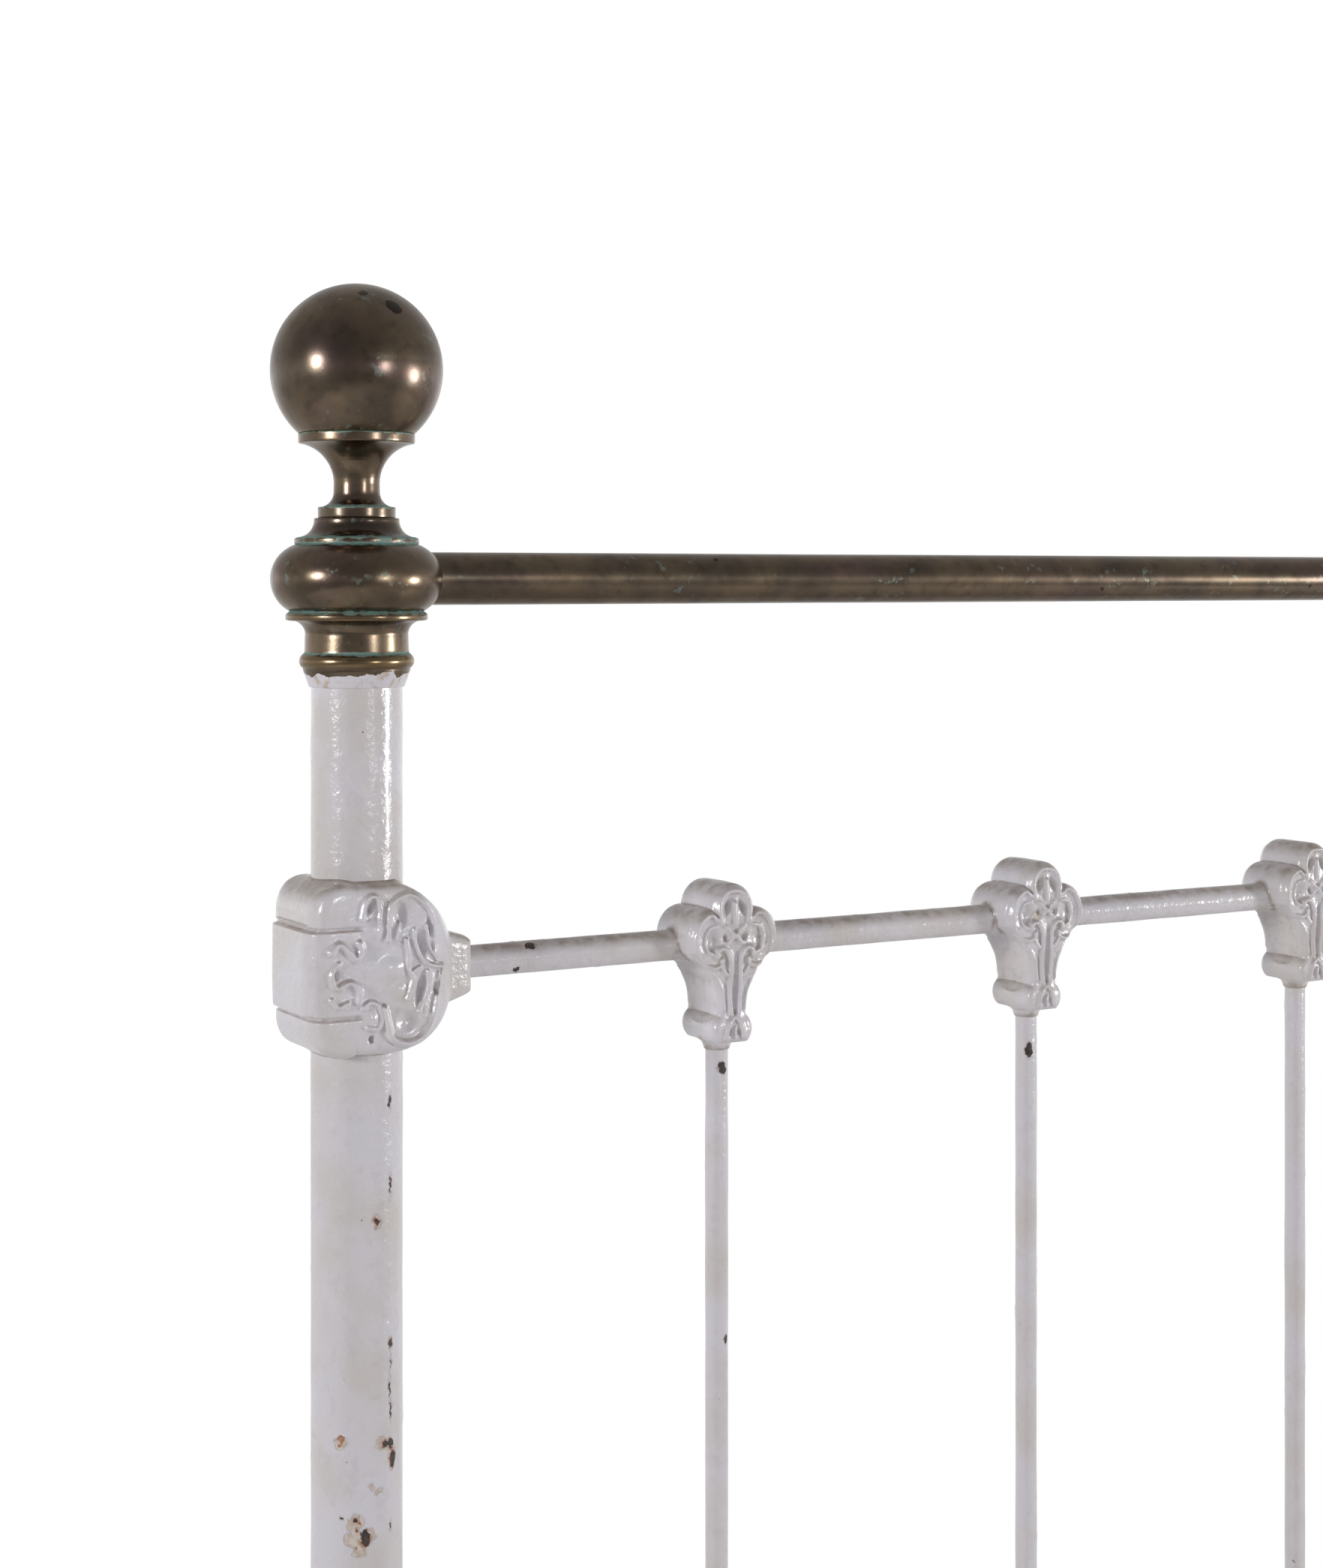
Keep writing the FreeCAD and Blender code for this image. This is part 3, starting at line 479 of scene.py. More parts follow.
def relief(u, v, ridges, bumps):
    """The height of a pattern of ridges and bumps at each (u, v)."""
    height = np.maximum.reduce([stroke(u, v, *ridge) for ridge in ridges])
    return height + sum(dimple(u, v, *bump) for bump in bumps)


# ---------------------------------------------------------------- cast joints

ROD_RADIUS = 7
SPINDLE_RADIUS = 5.25
POST_RADIUS = 19
STEM_RADIUS = 5
# how far a casting reaches into what it grips, at its bore and at its fillets
BORE_LAP = 1.2
FILLET_LAP = 1.5
# how far the grime and painted shade spread from where a casting grips
DIRT_AND_SHADE_REACH = 3.2

# where a spindle meets a rod: (across, up, bulge), about the crossing of their axes
SMALL_OUTLINE = [
    (7.45, -43.5), (7.45, -31, 2.8), (7.45, -26), (21.6, -3, -3.2), (11.2, 16.6, 6.6),
    (-11.2, 16.6, 10.8), (-21.6, -3, 6.6), (-7.45, -26, -3.2), (-7.45, -31), (-7.45, -43.5, 2.8),
]
SMALL_HALF_THICK = 15.7

# the right half of its scrollwork, which the left half mirrors: (points, width, height)
SMALL_RIDGES = [
    # the side lobe's scroll, close to the border, and hooked in at its foot
    (
        [(8.2, 11.6), (12.4, 14.2), (17.2, 11.4), (20.2, 5), (19.8, -1.6), (16.2, -7.6), (10.8, -9.6)],
        1.7,
        1.8,
    ),
    ([(10.8, -9.6), (7.4, -8.2), (6.6, -5.8)], 1.6, 1.5),
    # a second line inside the scroll
    ([(9.4, 8.8), (13.2, 7.6), (15.2, 3), (13.8, -1.8), (10.4, -3.6)], 1.5, 1.2),
    # the lily's petals, from the neck up, curled broadly out at the top
    ([(1.9, -30), (2.6, -19), (2.3, -10), (3.0, -4.6), (5.6, -1.2), (8.8, -1.8), (9.2, -4.6)], 1.8, 1.8),
    ([(4.2, -13), (7.2, -9.2)], 1.5, 1.0),
    # the leaf blade below the scroll
    ([(5.6, -28), (7.0, -19), (11.8, -12.2)], 1.8, 1.2),
    # the small cross at the middle
    ([(0, 4.4), (4.4, 8.2)], 1.6, 1.2),
    ([(0, 4.4), (4.0, 1.4)], 1.6, 1.1),
    # the crown's horseshoe and the leaf inside it
    ([(7.2, 10.8), (8.0, 16), (6.6, 21.2), (3.4, 23.8), (0, 24.4)], 1.9, 1.6),
    ([(0, 10), (0, 18.5)], 1.8, 1.3),
    # the bud on the cuff
    ([(4.6, -41), (3.0, -34.5), (0, -31.4)], 1.6, 1.5),
    ([(0, -41), (0, -36.5)], 1.4, 1.1),
]
# bumps and hollows: (centre, radii, tilt, height)
SMALL_BUMPS = [
    ((12.6, 2.6), (6.4, 8.6), 10, -1.7),
    ((3.8, 17.0), (2.1, 5.4), 16, -2.0),
    ((9.6, 13.6), (1.6, 3.8), -30, -1.4),
    ((0, -20), (1.6, 11), 0, -0.7),
    ((4.8, 3.6), (2.2, 3.0), -30, -1.5),
    ((11.2, -14.4), (1.5, 3.4), -40, -0.9),
    ((2.2, -38.6), (1.2, 2.6), 10, -1.0),
    ((0, 4.4), (2.6, 2.6), 0, 0.8),
]

# where a rod meets a post: the rod leaves towards +X
CORNER_OUTLINE = [
    (-9.5, -31.2, 5.5), (9.5, -31.2), (37, -15, 3.2), (49, -11.8), (49, 11.8), (37, 15),
    (9.5, 38, 3.2), (-9.5, 38), (-29, 26.5, 5.5), (-29, 22.9), (-32, 22.9), (-32, -16.1, 0.8),
    (-29, -16.1), (-29, -19.7),
]
# the same from above: (across, depth)
CORNER_PLAN = [
    (-32.1, -14), (-21, -25.2, 3.2), (20, -25.2), (37, -14.4, 1.8), (49, -11.8), (49, 11.8),
    (37, 14.4), (20, 25.2, 1.8), (-21, 25.2), (-32.1, 14, 3.2),
]
CORNER_RIDGES = [
    # the arches over and under the leaves
    ([(3.0, 15.4), (3.2, 23.4), (4.6, 29.9), (11.4, 33.4), (17.8, 31.0), (22.9, 24.4), (24.0, 16)], 1.8, 2.0),
    ([(1.2, -12.2), (3, -19.6), (5, -24.6), (11.8, -27.4), (18.8, -24.8), (23.9, -17), (25.4, -9)], 2.3, 2.4),
    # leaves between them
    ([(11.0, 15), (12.1, 9.4), (11.9, 3.6), (13.9, -1.2), (11.4, -9.2)], 1.5, 1.6),
    ([(14.6, 18.8), (15.4, 12.4), (19.1, 5.8), (24.0, 3.4), (29, 2.6)], 1.5, 1.6),
    ([(20.2, 20.4), (21.7, 11.4), (25.6, 5.4)], 1.3, 1.3),
    ([(20.9, 1.4), (20.4, -5.6), (16.8, -14.4)], 1.6, 1.7),
    ([(6.1, 16.4), (8.0, 21.8)], 1.5, 1.4),
    ([(26.6, 0.4), (25.8, -5.6)], 1.4, 1.3),
    ([(17.2, 3.4), (13.6, 1.6)], 1.4, 1.3),
    ([(29.4, 2.4), (27.2, -4), (25.8, -9.6)], 1.5, 1.4),
    # the double scroll on the outer side
    ([(-21.6, 11.8), (-18.4, 14.8), (-14.2, 11.6), (-10.8, 8.6), (-8.8, 12), (-9.6, 14.8)], 2.2, 2.0),
    ([(-18.6, 7.0), (-21.2, 2.8), (-20.6, -1.8), (-17.4, -3.0)], 1.9, 1.6),
    ([(-18.6, -2.8), (-13.8, -0.8), (-9.8, -4.0), (-9.8, -9.0)], 2.0, 1.9),
    ([(-21.6, -7.2), (-18.8, -10.4), (-14.6, -9.0)], 1.7, 1.4),
    # loops beside the arches
    ([(-8.6, 24.4), (-6.6, 31.8), (-2.8, 33.4), (-0.4, 28.8), (-0.8, 23.2)], 1.6, 1.6),
    ([(-8, -11.6), (-5, -9.4), (-1, -11.2), (0.4, -16.6), (-1.6, -20.2), (-6, -19.6)], 1.7, 1.5),
]
CORNER_BUMPS = [
    ((-4.4, 29.0), (1.8, 4.6), -32, -2.0),
    ((-3.4, 19.8), (5.6, 5.8), 0, 2.3),
    ((8.6, 25.2), (3.4, 7), 8, -2.0),
    ((18.0, 13.0), (2.5, 7.4), 14, -2.4),
    ((17.9, -6.2), (3.1, 9.6), -10, -2.5),
    ((21.9, 20), (1.6, 4.8), 14, -1.7),
    ((25.4, -5.2), (1.6, 4.4), -14, -1.7),
    ((23.4, 11.4), (1.3, 3.6), 12, -1.4),
    ((4.4, 3.6), (7.8, 6.4), 0, 1.8),
    ((-19.6, 3.0), (1.6, 3.8), 0, -1.7),
    ((-4.2, -16), (4.6, 5.8), 0, 1.5),
    ((-4.0, -24.4), (2.0, 2.2), 0, -2.4),
    ((11.6, -18.2), (5.8, 5.8), 0, -1.4),
    ((8.2, -5.2), (3.6, 4.8), 0, 1.1),
]
BAND_GROOVES = (20.6, -15.2)


def with_dirt_and_shade(shape, *distances):
    """The same, with how near each point lies to what the casting grips, from 0 to 1, for grime and painted
    shade.
    """
    near = np.minimum.reduce([np.abs(distance) for distance in distances])
    shape.values["dirt_and_shade"] = np.clip(1 - near / DIRT_AND_SHADE_REACH, 0, 1)
    return shape


def small_casting():
    """The joint at a spindle, which hangs down: three lobes over the rod, a waist, and a cuff."""
    low = (-31, -20, -50)
    x, y, z = grid(low, (31, 20, 30))
    # the sides: hollow down the waist's flanks, and crowned over the lobes
    lobes = step(z, -14, -2)
    valley = 2.7 * step(-z, 4, 12) * (1 - 0.66 * step(-z, 15, 25)) * (1 - step(-z, 33, 40))
    flank = valley * np.clip(1 - (y / 13.5) ** 2, 0, 1)
    crown = 0.4 * lobes * (y / 15.5) ** 2
    side = outline_distance(x, z, drawn(SMALL_OUTLINE, closed=True)) + flank + crown
    # the faces, which lean back towards the crown and the waist
    carved = relief(np.abs(x), z, SMALL_RIDGES, SMALL_BUMPS)
    lean = 0.6 * step(z, 12, 27) + 0.8 * step(-z, 12, 26) * (1 - step(-z, 28, 36))
    face = np.abs(y) - (SMALL_HALF_THICK + carved - lean)
    body = meeting(side, face, 4.2)
    rod = np.hypot(y, z)
    spindle = np.hypot(x, y)
    # a dab of metal under the cuff, which tapers onto the spindle
    dab = np.maximum(spindle - 5.6 - 0.34 * (z + 48), -z - 48)
    body = blended(body, np.maximum(dab, z + 36), 2.2)
    collar = np.maximum(rod - ROD_RADIUS + FILLET_LAP, np.abs(x) - 30)
    body = blended(body, collar, 4.5)
    body = np.maximum(body, ROD_RADIUS - BORE_LAP - rod)
    body = np.maximum(body, np.minimum(SPINDLE_RADIUS - BORE_LAP - spindle, -z - 9))
    shape = thinned(skin(body, low), 27500).with_cavity(7)
    x, y, z = shape.points.T
    below = np.where(z < -30, np.hypot(x, y) - SPINDLE_RADIUS, FAR)
    return with_dirt_and_shade(shape, np.hypot(y, z) - ROD_RADIUS, below)


def corner_body(x, y, z):
    """Distance to a corner casting, before it is bored."""
    front = outline_distance(x, z, drawn(CORNER_OUTLINE, closed=True))
    plan = outline_distance(x, y, drawn(CORNER_PLAN, closed=True))
    carved = relief(x, z, CORNER_RIDGES, CORNER_BUMPS) * step(np.abs(y), 9, 16)
    body = meeting(front, plan - carved + 0.5, 6)
    for height in BAND_GROOVES:
        off = (z - height) / 1.4
        body = body + 1.4 * (1 - np.clip(off * off, 0, 1)) ** 2 * (1 - step(x, -11, -5))
    body = blended(body, np.hypot(x, y) - POST_RADIUS + FILLET_LAP, 4.5)
    return blended(body, np.maximum(np.hypot(y, z) - ROD_RADIUS + FILLET_LAP, -x), 4.5)


def bored_corner(body, x, y, z, low):
    """A corner casting with the holes for the post and the rod, as a shape."""
    body = np.maximum(body, POST_RADIUS - BORE_LAP - np.hypot(x, y))
    body = np.maximum(body, np.minimum(ROD_RADIUS - BORE_LAP - np.hypot(y, z), x))
    shape = thinned(skin(body, low), 95000).with_cavity(8)
    x, y, z = shape.points.T
    beside = np.where(x > 30, np.hypot(y, z) - ROD_RADIUS, FAR)
    return with_dirt_and_shade(shape, np.hypot(x, y) - POST_RADIUS, beside)


def upper_corner_casting():
    low = (-35, -30, -44)
    x, y, z = grid(low, (62, 30, 50))
    return bored_corner(corner_body(x, y, z), x, y, z, low)


LUG_FACE = -38
SOCKET_FOOT = -19
SOCKET_TALL = 44
SOCKET_DEEP = 9
# half the dovetail's width at its foot and mouth, and what it gains upwards and inwards
TAIL_HALF = 7.5
TAIL_TAPER = 1.5
TAIL_FLARE = 3.5


def dovetail_distance(x, y, z, ease, foot):
    """Distance to the dovetail, which widens inwards and upwards."""
    rise = (z - SOCKET_FOOT) / SOCKET_TALL * TAIL_TAPER
    inwards = np.clip((y - LUG_FACE) / SOCKET_DEEP, 0, 1)
    half = TAIL_HALF + rise + TAIL_FLARE * inwards - ease
    back = LUG_FACE + SOCKET_DEEP
    return np.maximum(np.maximum(np.abs(x) - half, y - back + ease), foot - z)


def lower_corner_casting():
    """The same joint, with the lug and the dovetail socket that a side iron hangs in, towards -Y."""
    low = (-35, -41, -44)
    x, y, z = grid(low, (62, 30, 50))
    lug = block_distance(x, y, z, (-19, LUG_FACE, -25), (19, -15, 25), 2.2)
    slot = dovetail_distance(x, y, z, ease=0, foot=SOCKET_FOOT)
    body = np.maximum(blended(corner_body(x, y, z), lug, 3), -slot)
    return bored_corner(body, x, y, z, low)


def hook_end():
    """A side iron's cast end: a block, and the dovetail that hangs in the socket, towards +Y."""
    low = (-15, -73, -26)
    x, y, z = grid(low, (15, -27, 26))
    gap = 0.2
    half_wide, half_tall = 12, 23
    block = block_distance(x, y, z, (-half_wide, -70.2, -half_tall), (half_wide, -38.2, half_tall), 2.6)
    tail = dovetail_distance(x, y, z, ease=gap, foot=-18.8)
    body = blended(block, np.maximum(tail, np.maximum(z - half_tall, -y - 44)), 0.6)
    # the slot for the side iron: its upright leg, and its ledge
    slot_low, slot_end = (-2.3, -FAR, -19), -48.1
    leg = block_distance(x, y, z, slot_low, (2.3, slot_end, 19), 0.6)
    ledge = block_distance(x, y, z, slot_low, (35.8, slot_end, -14.4), 0.6)
    body = np.maximum(body, -np.minimum(leg, ledge))
    return thinned(skin(body, low), 24000).with_cavity(6)


# ---------------------------------------------------------------- brass

BRASS_AROUND = 144

KNOB_PROFILE = [
    (17.2, -44.7), (19.65, -44.7), (22.1, -37.6), (22.1, -36.9), (22.1, -31.1, 1.6), (21.5, -30.6),
    (21.3, -24), (27.8, -17.3, -2.4), (29.2, -17), (29.3, -14.9), (28.2, -13.9), (27.4, -13.5),
    (25.2, 14.1, 9.2), (25.6, 14.4), (25.6, 16.5), (24.4, 17), (17.6, 24.4, -2.1), (17.4, 24.9),
    (ON_AXIS, 24.9),
]
NECK_PROFILE = [
    (ON_AXIS, 0), (16, 0), (16, 4.6), (15, 4.6), (9.6, 10.6, -1.5), (9.5, 14.5), (22.8, 30.8, -3.7),
    (24, 31), (24, 35), (22.6, 35), (22.6, 38.8), (ON_AXIS, 38.8),
]
BALL_RADIUS = 35.6
BALL_MOUTH = 24
BALL_WALL = 1.5
# how far up the knob's cone the post's paint reaches
CONE_TOP = -38.6
# heights where verdigris gathers
KNOB_LINES = (-30.8, -13.9, 14.3, 16.9)
NECK_LINES = (4.8, 35.2)
LINE_REACH = 1.8


def plain_brass(shape, lines=()):
    """Brass without paint, and with verdigris along lines at those heights."""
    shape.values["painted"] = np.full(len(shape.points), -50.0)
    shape.values["dirt_and_shade"] = near_lines(shape, lines)
    return shape


def near_lines(shape, lines):
    """How near each point lies to one of the heights, from 0 to 1."""
    near = np.full(len(shape.points), float(FAR))
    for height in lines:
        near = np.minimum(near, np.abs(shape.points[:, 2] - height))
    return np.clip(1 - near / LINE_REACH, 0, 1)


def knob():
    """The knob on the brass rail's end, about the rail's axis, with how far each point is down its
    painted cone."""
    shape = lathe(divided(eased(drawn(KNOB_PROFILE), 0.7), 0.9), BRASS_AROUND).uneven(15, 0.06, 3)
    shape.values["painted"] = CONE_TOP - shape.points[:, 2]
    shape.values["dirt_and_shade"] = near_lines(shape, KNOB_LINES)
    return shape.with_cavity(9)


def neck():
    shape = lathe(divided(eased(drawn(NECK_PROFILE), 0.5), 0.8), BRASS_AROUND).uneven(13, 0.05, 4)
    return plain_brass(shape, NECK_LINES).with_cavity(7)


def ball():
    """A spun ball, about its own centre, with the faint seam of its two halves."""
    lowest = -math.sqrt(BALL_RADIUS**2 - BALL_MOUTH**2)
    inner = BALL_RADIUS - BALL_WALL
    start = math.asin(lowest / BALL_RADIUS)
    outside = [(BALL_RADIUS * math.cos(a), BALL_RADIUS * math.sin(a)) for a in np.linspace(start, 1.5705, 90)]
    start = math.asin(lowest / inner)
    inside = [(inner * math.cos(a), inner * math.sin(a)) for a in np.linspace(1.57, start, 24)]
    shape = lathe(np.array(inside + outside), BRASS_AROUND)
    radius = np.linalg.norm(shape.points, axis=1)
    seam = np.clip(1 - np.abs(shape.points[:, 2] - 2.6) / 0.9, 0, 1) * (radius > BALL_RADIUS - 0.5)
    shape = shape.swollen(-0.06 * seam).uneven(24, 0.09, 5)
    inwards = np.minimum(1, BALL_RADIUS / np.linalg.norm(shape.points, axis=1))
    return plain_brass(shape.with_points(shape.points * inwards[:, None])).with_cavity(5)


# ---------------------------------------------------------------- tubes, rods and spindles


def painted_bar(radius, length, spacing, around, seed):
    """A bar up along Z under many coats of paint: long runs, lumps and brush marks."""
    shape = bar(radius - 0.12, length, spacing, around)
    stretched = shape.points * (1, 1, 0.45)
    heights = np.zeros_like(shape.points)
    heights[:, 0] = shape.points[:, 2]
    wander = noise(heights, 90, seed)
    lumps = noise(shape.points, 17, seed) * 0.11 + noise(stretched, 5.5, seed + 1) * 0.07
    pips = np.clip(noise(shape.points, 3.4, seed + 2) - 0.62, 0, 1) * 0.55
    return shape.swollen(lumps + pips + wander * 0.05)


def along_x(shape, length):
    """A bar up along Z from the origin, laid along X and centred."""
    return shape.moved(z=-length / 2).turned("y", 90)


# ---------------------------------------------------------------- side irons, laths and rivets


def side_iron(length, leg, thick):
    """A side iron along X with rounded root and toes, worn and slightly pitted. Its ledge points to +Y."""
    half, edge = leg / 2, thick / 2
    corners = [
        (-edge, -half), (leg - edge, -half), (leg - edge, thick - half - 2),
        (leg - edge - 2, thick - half, 0.6), (edge + 4, thick - half),
        (edge, thick - half + 4, -1.2), (edge, half - 2), (edge - 2, half, 0.6), (-edge, half),
    ]
    outline = divided(drawn(corners, closed=True), 2.4)
    shape = drawn_out(outline, length, 6)
    return shape.uneven(60, 0.25, 7).uneven(9, 0.1, 8).uneven(4, 0.05, 9)


def lath(length, wide, thick, rivet_reach):
    """One lath along X: a strip with soft edges and a hole near each end."""
    half_wide, half = wide / 2, thick / 2
    corners = [
        (0, -half), (half_wide, -half), (half_wide, half), (-half_wide, half), (-half_wide, -half),
        (0, -half),
    ]
    strip = drawn_out(divided(eased(np.array(corners, float), 0.8)[:-1], 3), length, 8)
    drill = bar(RIVET_HOLE, 12, 12, 20).moved(z=-6)
    return bored(strip, joined([drill.moved(x=-rivet_reach), drill.moved(x=rivet_reach)]))


def rivet(tall):
    """A rivet up along Z from its domed head's top, which points down."""
    shank, dome = 3, 3
    head = [(ON_AXIS, 0), (4.4, 0.5, 0.35), (RIVET_HEAD, dome, 0.7)]
    corners = head + [(shank, dome), (shank, tall - 0.3), (ON_AXIS, tall, 0.1)]
    return lathe(divided(drawn(corners), 1), 28)


# ---------------------------------------------------------------- casters


def ferrule(collar, tall, socket):
    """The iron collar under a post, its spigot inside the tube, and the socket for the caster's stem."""
    spigot, bore = POST_RADIUS - 2.25, STEM_RADIUS + 0.2
    corners = [
        (bore, 0), (POST_RADIUS - 0.6, 0), (POST_RADIUS + 0.2, 1.4, 0.3),
        (POST_RADIUS + 0.2, collar - 1.4, 2.3), (POST_RADIUS - 0.4, collar), (spigot, collar),
        (spigot, tall), (ON_AXIS, tall), (ON_AXIS, socket), (bore, socket), (bore, 0),
    ]
    return lathe(divided(drawn(corners), 1.6), 80).with_cavity(3)


def horn(axle_back, axle_up, plate_up, stem_up):
    """The cast horn about the swivel's axis: a stem, a plate, and two cheeks that reach to the axle."""
    low = (-20, -24, 10)
    x, y, z = grid(low, (20, 20, stem_up + 2))
    cheek_at, cheek_half, cheek_end = 12, 2, 6.5
    plate_radius, plate_half = 17, 2.5
    outline = [
        (10, plate_up - plate_half), (-16, plate_up - plate_half), (axle_back - cheek_end, axle_up),
        (axle_back + cheek_end, axle_up, cheek_end),
    ]
    side = outline_distance(y, z, drawn(outline, closed=True))
    cheeks = meeting(side, np.abs(np.abs(x) - cheek_at) - cheek_half, 1.6)
    plate = meeting(np.hypot(x, y) - plate_radius, np.abs(z - plate_up + plate_half) - plate_half, 1.8)
    stem = np.maximum(np.hypot(x, y) - STEM_RADIUS, np.maximum(plate_up - 4 - z, z - stem_up))
    body = np.minimum(blended(plate, cheeks, 6), stem)
    room = np.minimum(cheek_at - cheek_half - np.abs(x), plate_up - 2 * plate_half - z)
    body = np.maximum(body, room)
    body = np.maximum(body, AXLE_BORE - np.hypot(y - axle_back, z - axle_up))
    return thinned(skin(body, low), 16000).uneven(6, 0.12, 6).with_cavity(6)


def axle(half):
    """The axle along X, with a domed head outside each cheek."""
    head = [(ON_AXIS, half), (3.4, half - 0.3), (4.9, half - 1), (4.9, half - 1.55), (3, half - 1.6)]
    profile = [(across, -up) for across, up in head] + head[::-1]
    return lathe(divided(np.array(profile), 1), 32).with_cavity(3).turned("y", 90)


def wheel(radius, half, bore):
    """A china wheel along X: a rounded tread, and on each face a rim, a dish and a hub."""
    face = [
        (radius - 0.05, half - 2.4), (radius - 1.5, half - 0.2), (radius - 3.6, half - 0.1),
        (radius - 5.2, half - 1.6), (9.6, half - 1.9), (8, half - 0.2), (bore + 0.7, half - 0.1),
        (bore, half - 0.8),
    ]
    profile = [(across, -up) for across, up in face[::-1]] + face
    line = divided(eased(np.array(profile + profile[:1]), 0.9), 0.8)
    return lathe(line, 112).uneven(8, 0.04, 2).with_cavity(6).turned("y", 90)


# ---------------------------------------------------------------- materials


def srgb(red, green, blue):
    """A colour given as it looks on a screen, from 0 to 255, as light for a shader."""
    def light(value):
        share = value / 255
        return share / 12.92 if share <= 0.04045 else ((share + 0.055) / 1.055) ** 2.4
    return (light(red), light(green), light(blue), 1)


class Nodes:
    """The nodes of a material or a world, and short calls that add to them."""

    def __init__(self, holder):
        holder.use_nodes = True
        self.tree = holder.node_tree
        self.tree.nodes.clear()

    def new(self, kind, inputs=None, **settings):
        """A node with these settings, and with its inputs linked or set."""
        node = self.tree.nodes.new(f"ShaderNode{kind}")
        for name, value in settings.items():
            setattr(node, name, value)
        for socket, value in (inputs or {}).items():
            self.put(node.inputs[socket], value)
        return node

    def put(self, socket, value):
        """Links a node's output, or sets a plain value."""
        if isinstance(value, bpy.types.NodeSocket):
            self.tree.links.new(value, socket)
        else:
            socket.default_value = value

    def vector(self, operation, a, b):
        node = self.new("VectorMath", {0: a, 1: b}, operation=operation)
        return node.outputs["Value" if operation in ("LENGTH", "DOT_PRODUCT") else "Vector"]

    def math(self, operation, a, b=0.0):
        return self.new("Math", {0: a, 1: b}, operation=operation).outputs["Value"]

    def plus(self, a, b):
        return self.math("ADD", a, b)

    def minus(self, a, b):
        return self.math("SUBTRACT", a, b)

    def times(self, a, b):
        return self.math("MULTIPLY", a, b)

    def shuffled(self, chance, factor):
        """Another random number from 0 to 1, made of one such number."""
        return self.math("FRACT", self.times(chance, factor))

    def ranged(self, value, low, high, first, last, way="LINEAR"):
        """A value, stretched from the range low to high onto the range first to last."""
        ends = {"From Min": low, "From Max": high, "To Min": first, "To Max": last}
        return self.new("MapRange", {"Value": value, **ends}, interpolation_type=way).outputs["Result"]

    def step(self, value, low, high):
        """Rises smoothly from 0 to 1 between two values."""
        return self.ranged(value, low, high, 0, 1, "SMOOTHSTEP")

    def between(self, value, low, high):
        """A value from 0 to 1, stretched from low to high."""
        return self.ranged(value, 0, 1, low, high)


class Finish(Nodes):
    """One material, and short calls for its patterns. Sizes are in millimetres."""

    def __init__(self, name):
        self.material = bpy.data.materials.new(name)
        super().__init__(self.material)
        output = self.new("OutputMaterial")
        self.shader = self.new("BsdfPrincipled")
        self.put(output.inputs["Surface"], self.shader.outputs["BSDF"])
        self.place = self.vector("MULTIPLY", self.new("TexCoord").outputs["Object"], (1 / MM,) * 3)

    def noise(self, size, detail=3.0, seed=0.0, stretch=(1, 1, 1), colour=False):
        """Noise with spots about `size` across, around 0.5."""
        place = self.vector("MULTIPLY", self.place, stretch)
        inputs = {"Vector": place, "W": seed, "Scale": 1 / size, "Detail": detail}
        node = self.new("TexNoise", inputs, noise_dimensions="4D")
        return node.outputs["Color" if colour else "Fac"]

    def cells(self, size, place):
        """Random cells about `size` across: the distance to the middle, in cells, and a random colour."""
        node = self.new("TexVoronoi", {"Vector": place, "Scale": 1 / size})
        return node.outputs["Distance"], node.outputs["Color"]

    def cracks(self, size, place):
        """How far each place is from the sides of random cells about `size` across, in cells."""
        inputs = {"Vector": place, "Scale": 1 / size}
        return self.new("TexVoronoi", inputs, feature="DISTANCE_TO_EDGE").outputs["Distance"]

    def value(self, name):
        """A value that the mesh holds for each point."""
        return self.new("Attribute", attribute_name=name).outputs["Fac"]

    def facing_up(self, low, high):
        """1 where the surface faces up, 0 where it doesn't."""
        parts = self.new("SeparateXYZ", {0: self.new("NewGeometry").outputs["Normal"]})
        return self.step(parts.outputs["Z"], low, high)

    def mix(self, share, a, b):
        node = self.new("Mix", {0: share}, data_type="RGBA")
        colours = [socket for socket in node.inputs if socket.type == "RGBA"]
        self.put(colours[0], a)
        self.put(colours[1], b)
        return [socket for socket in node.outputs if socket.type == "RGBA"][0]

    def layer(self, under, top, share, strength):
        """A colour with another laid over share times strength of it."""
        return self.mix(self.times(share, strength), under, top)

    def bumps(self, height, strength=1.0, depth=1.0):
        """A bump from a height in millimetres."""
        inputs = {"Strength": strength, "Distance": depth * MM, "Height": height}
        return self.new("Bump", inputs).outputs["Normal"]

    def wobbled(self, size, amount, seed=0.0):
        """The place, pushed about by noise, for ragged edges."""
        push = self.vector("SUBTRACT", self.noise(size, 3, seed, colour=True), (0.5,) * 3)
        return self.vector("ADD", self.place, self.vector("MULTIPLY", push, (amount * 2,) * 3))

    def finished(self, colour, roughness, metallic=0.0, normal=None, **plain):
        self.put(self.shader.inputs["Base Color"], colour)
        self.put(self.shader.inputs["Roughness"], roughness)
        self.put(self.shader.inputs["Metallic"], metallic)
        if normal is not None:
            self.put(self.shader.inputs["Normal"], normal)
        for name, value in plain.items():
            self.shader.inputs[name.replace("_", " ")].default_value = value
        return self.material


WHITE_PAINT = srgb(224, 220, 227)
CREAM_PAINT = srgb(214, 207, 201)
# grime colours, which also stand for painted shade in the hollows and where parts meet
GRIME_AND_SHADE = srgb(132, 110, 88)
DEEP_GRIME_AND_SHADE = srgb(70, 55, 42)
DUST_AND_TOP_SHADE = srgb(140, 120, 104)
UNDERCOAT = srgb(203, 186, 173)
RUST = srgb(166, 98, 48)
IRON = srgb(48, 40, 38)


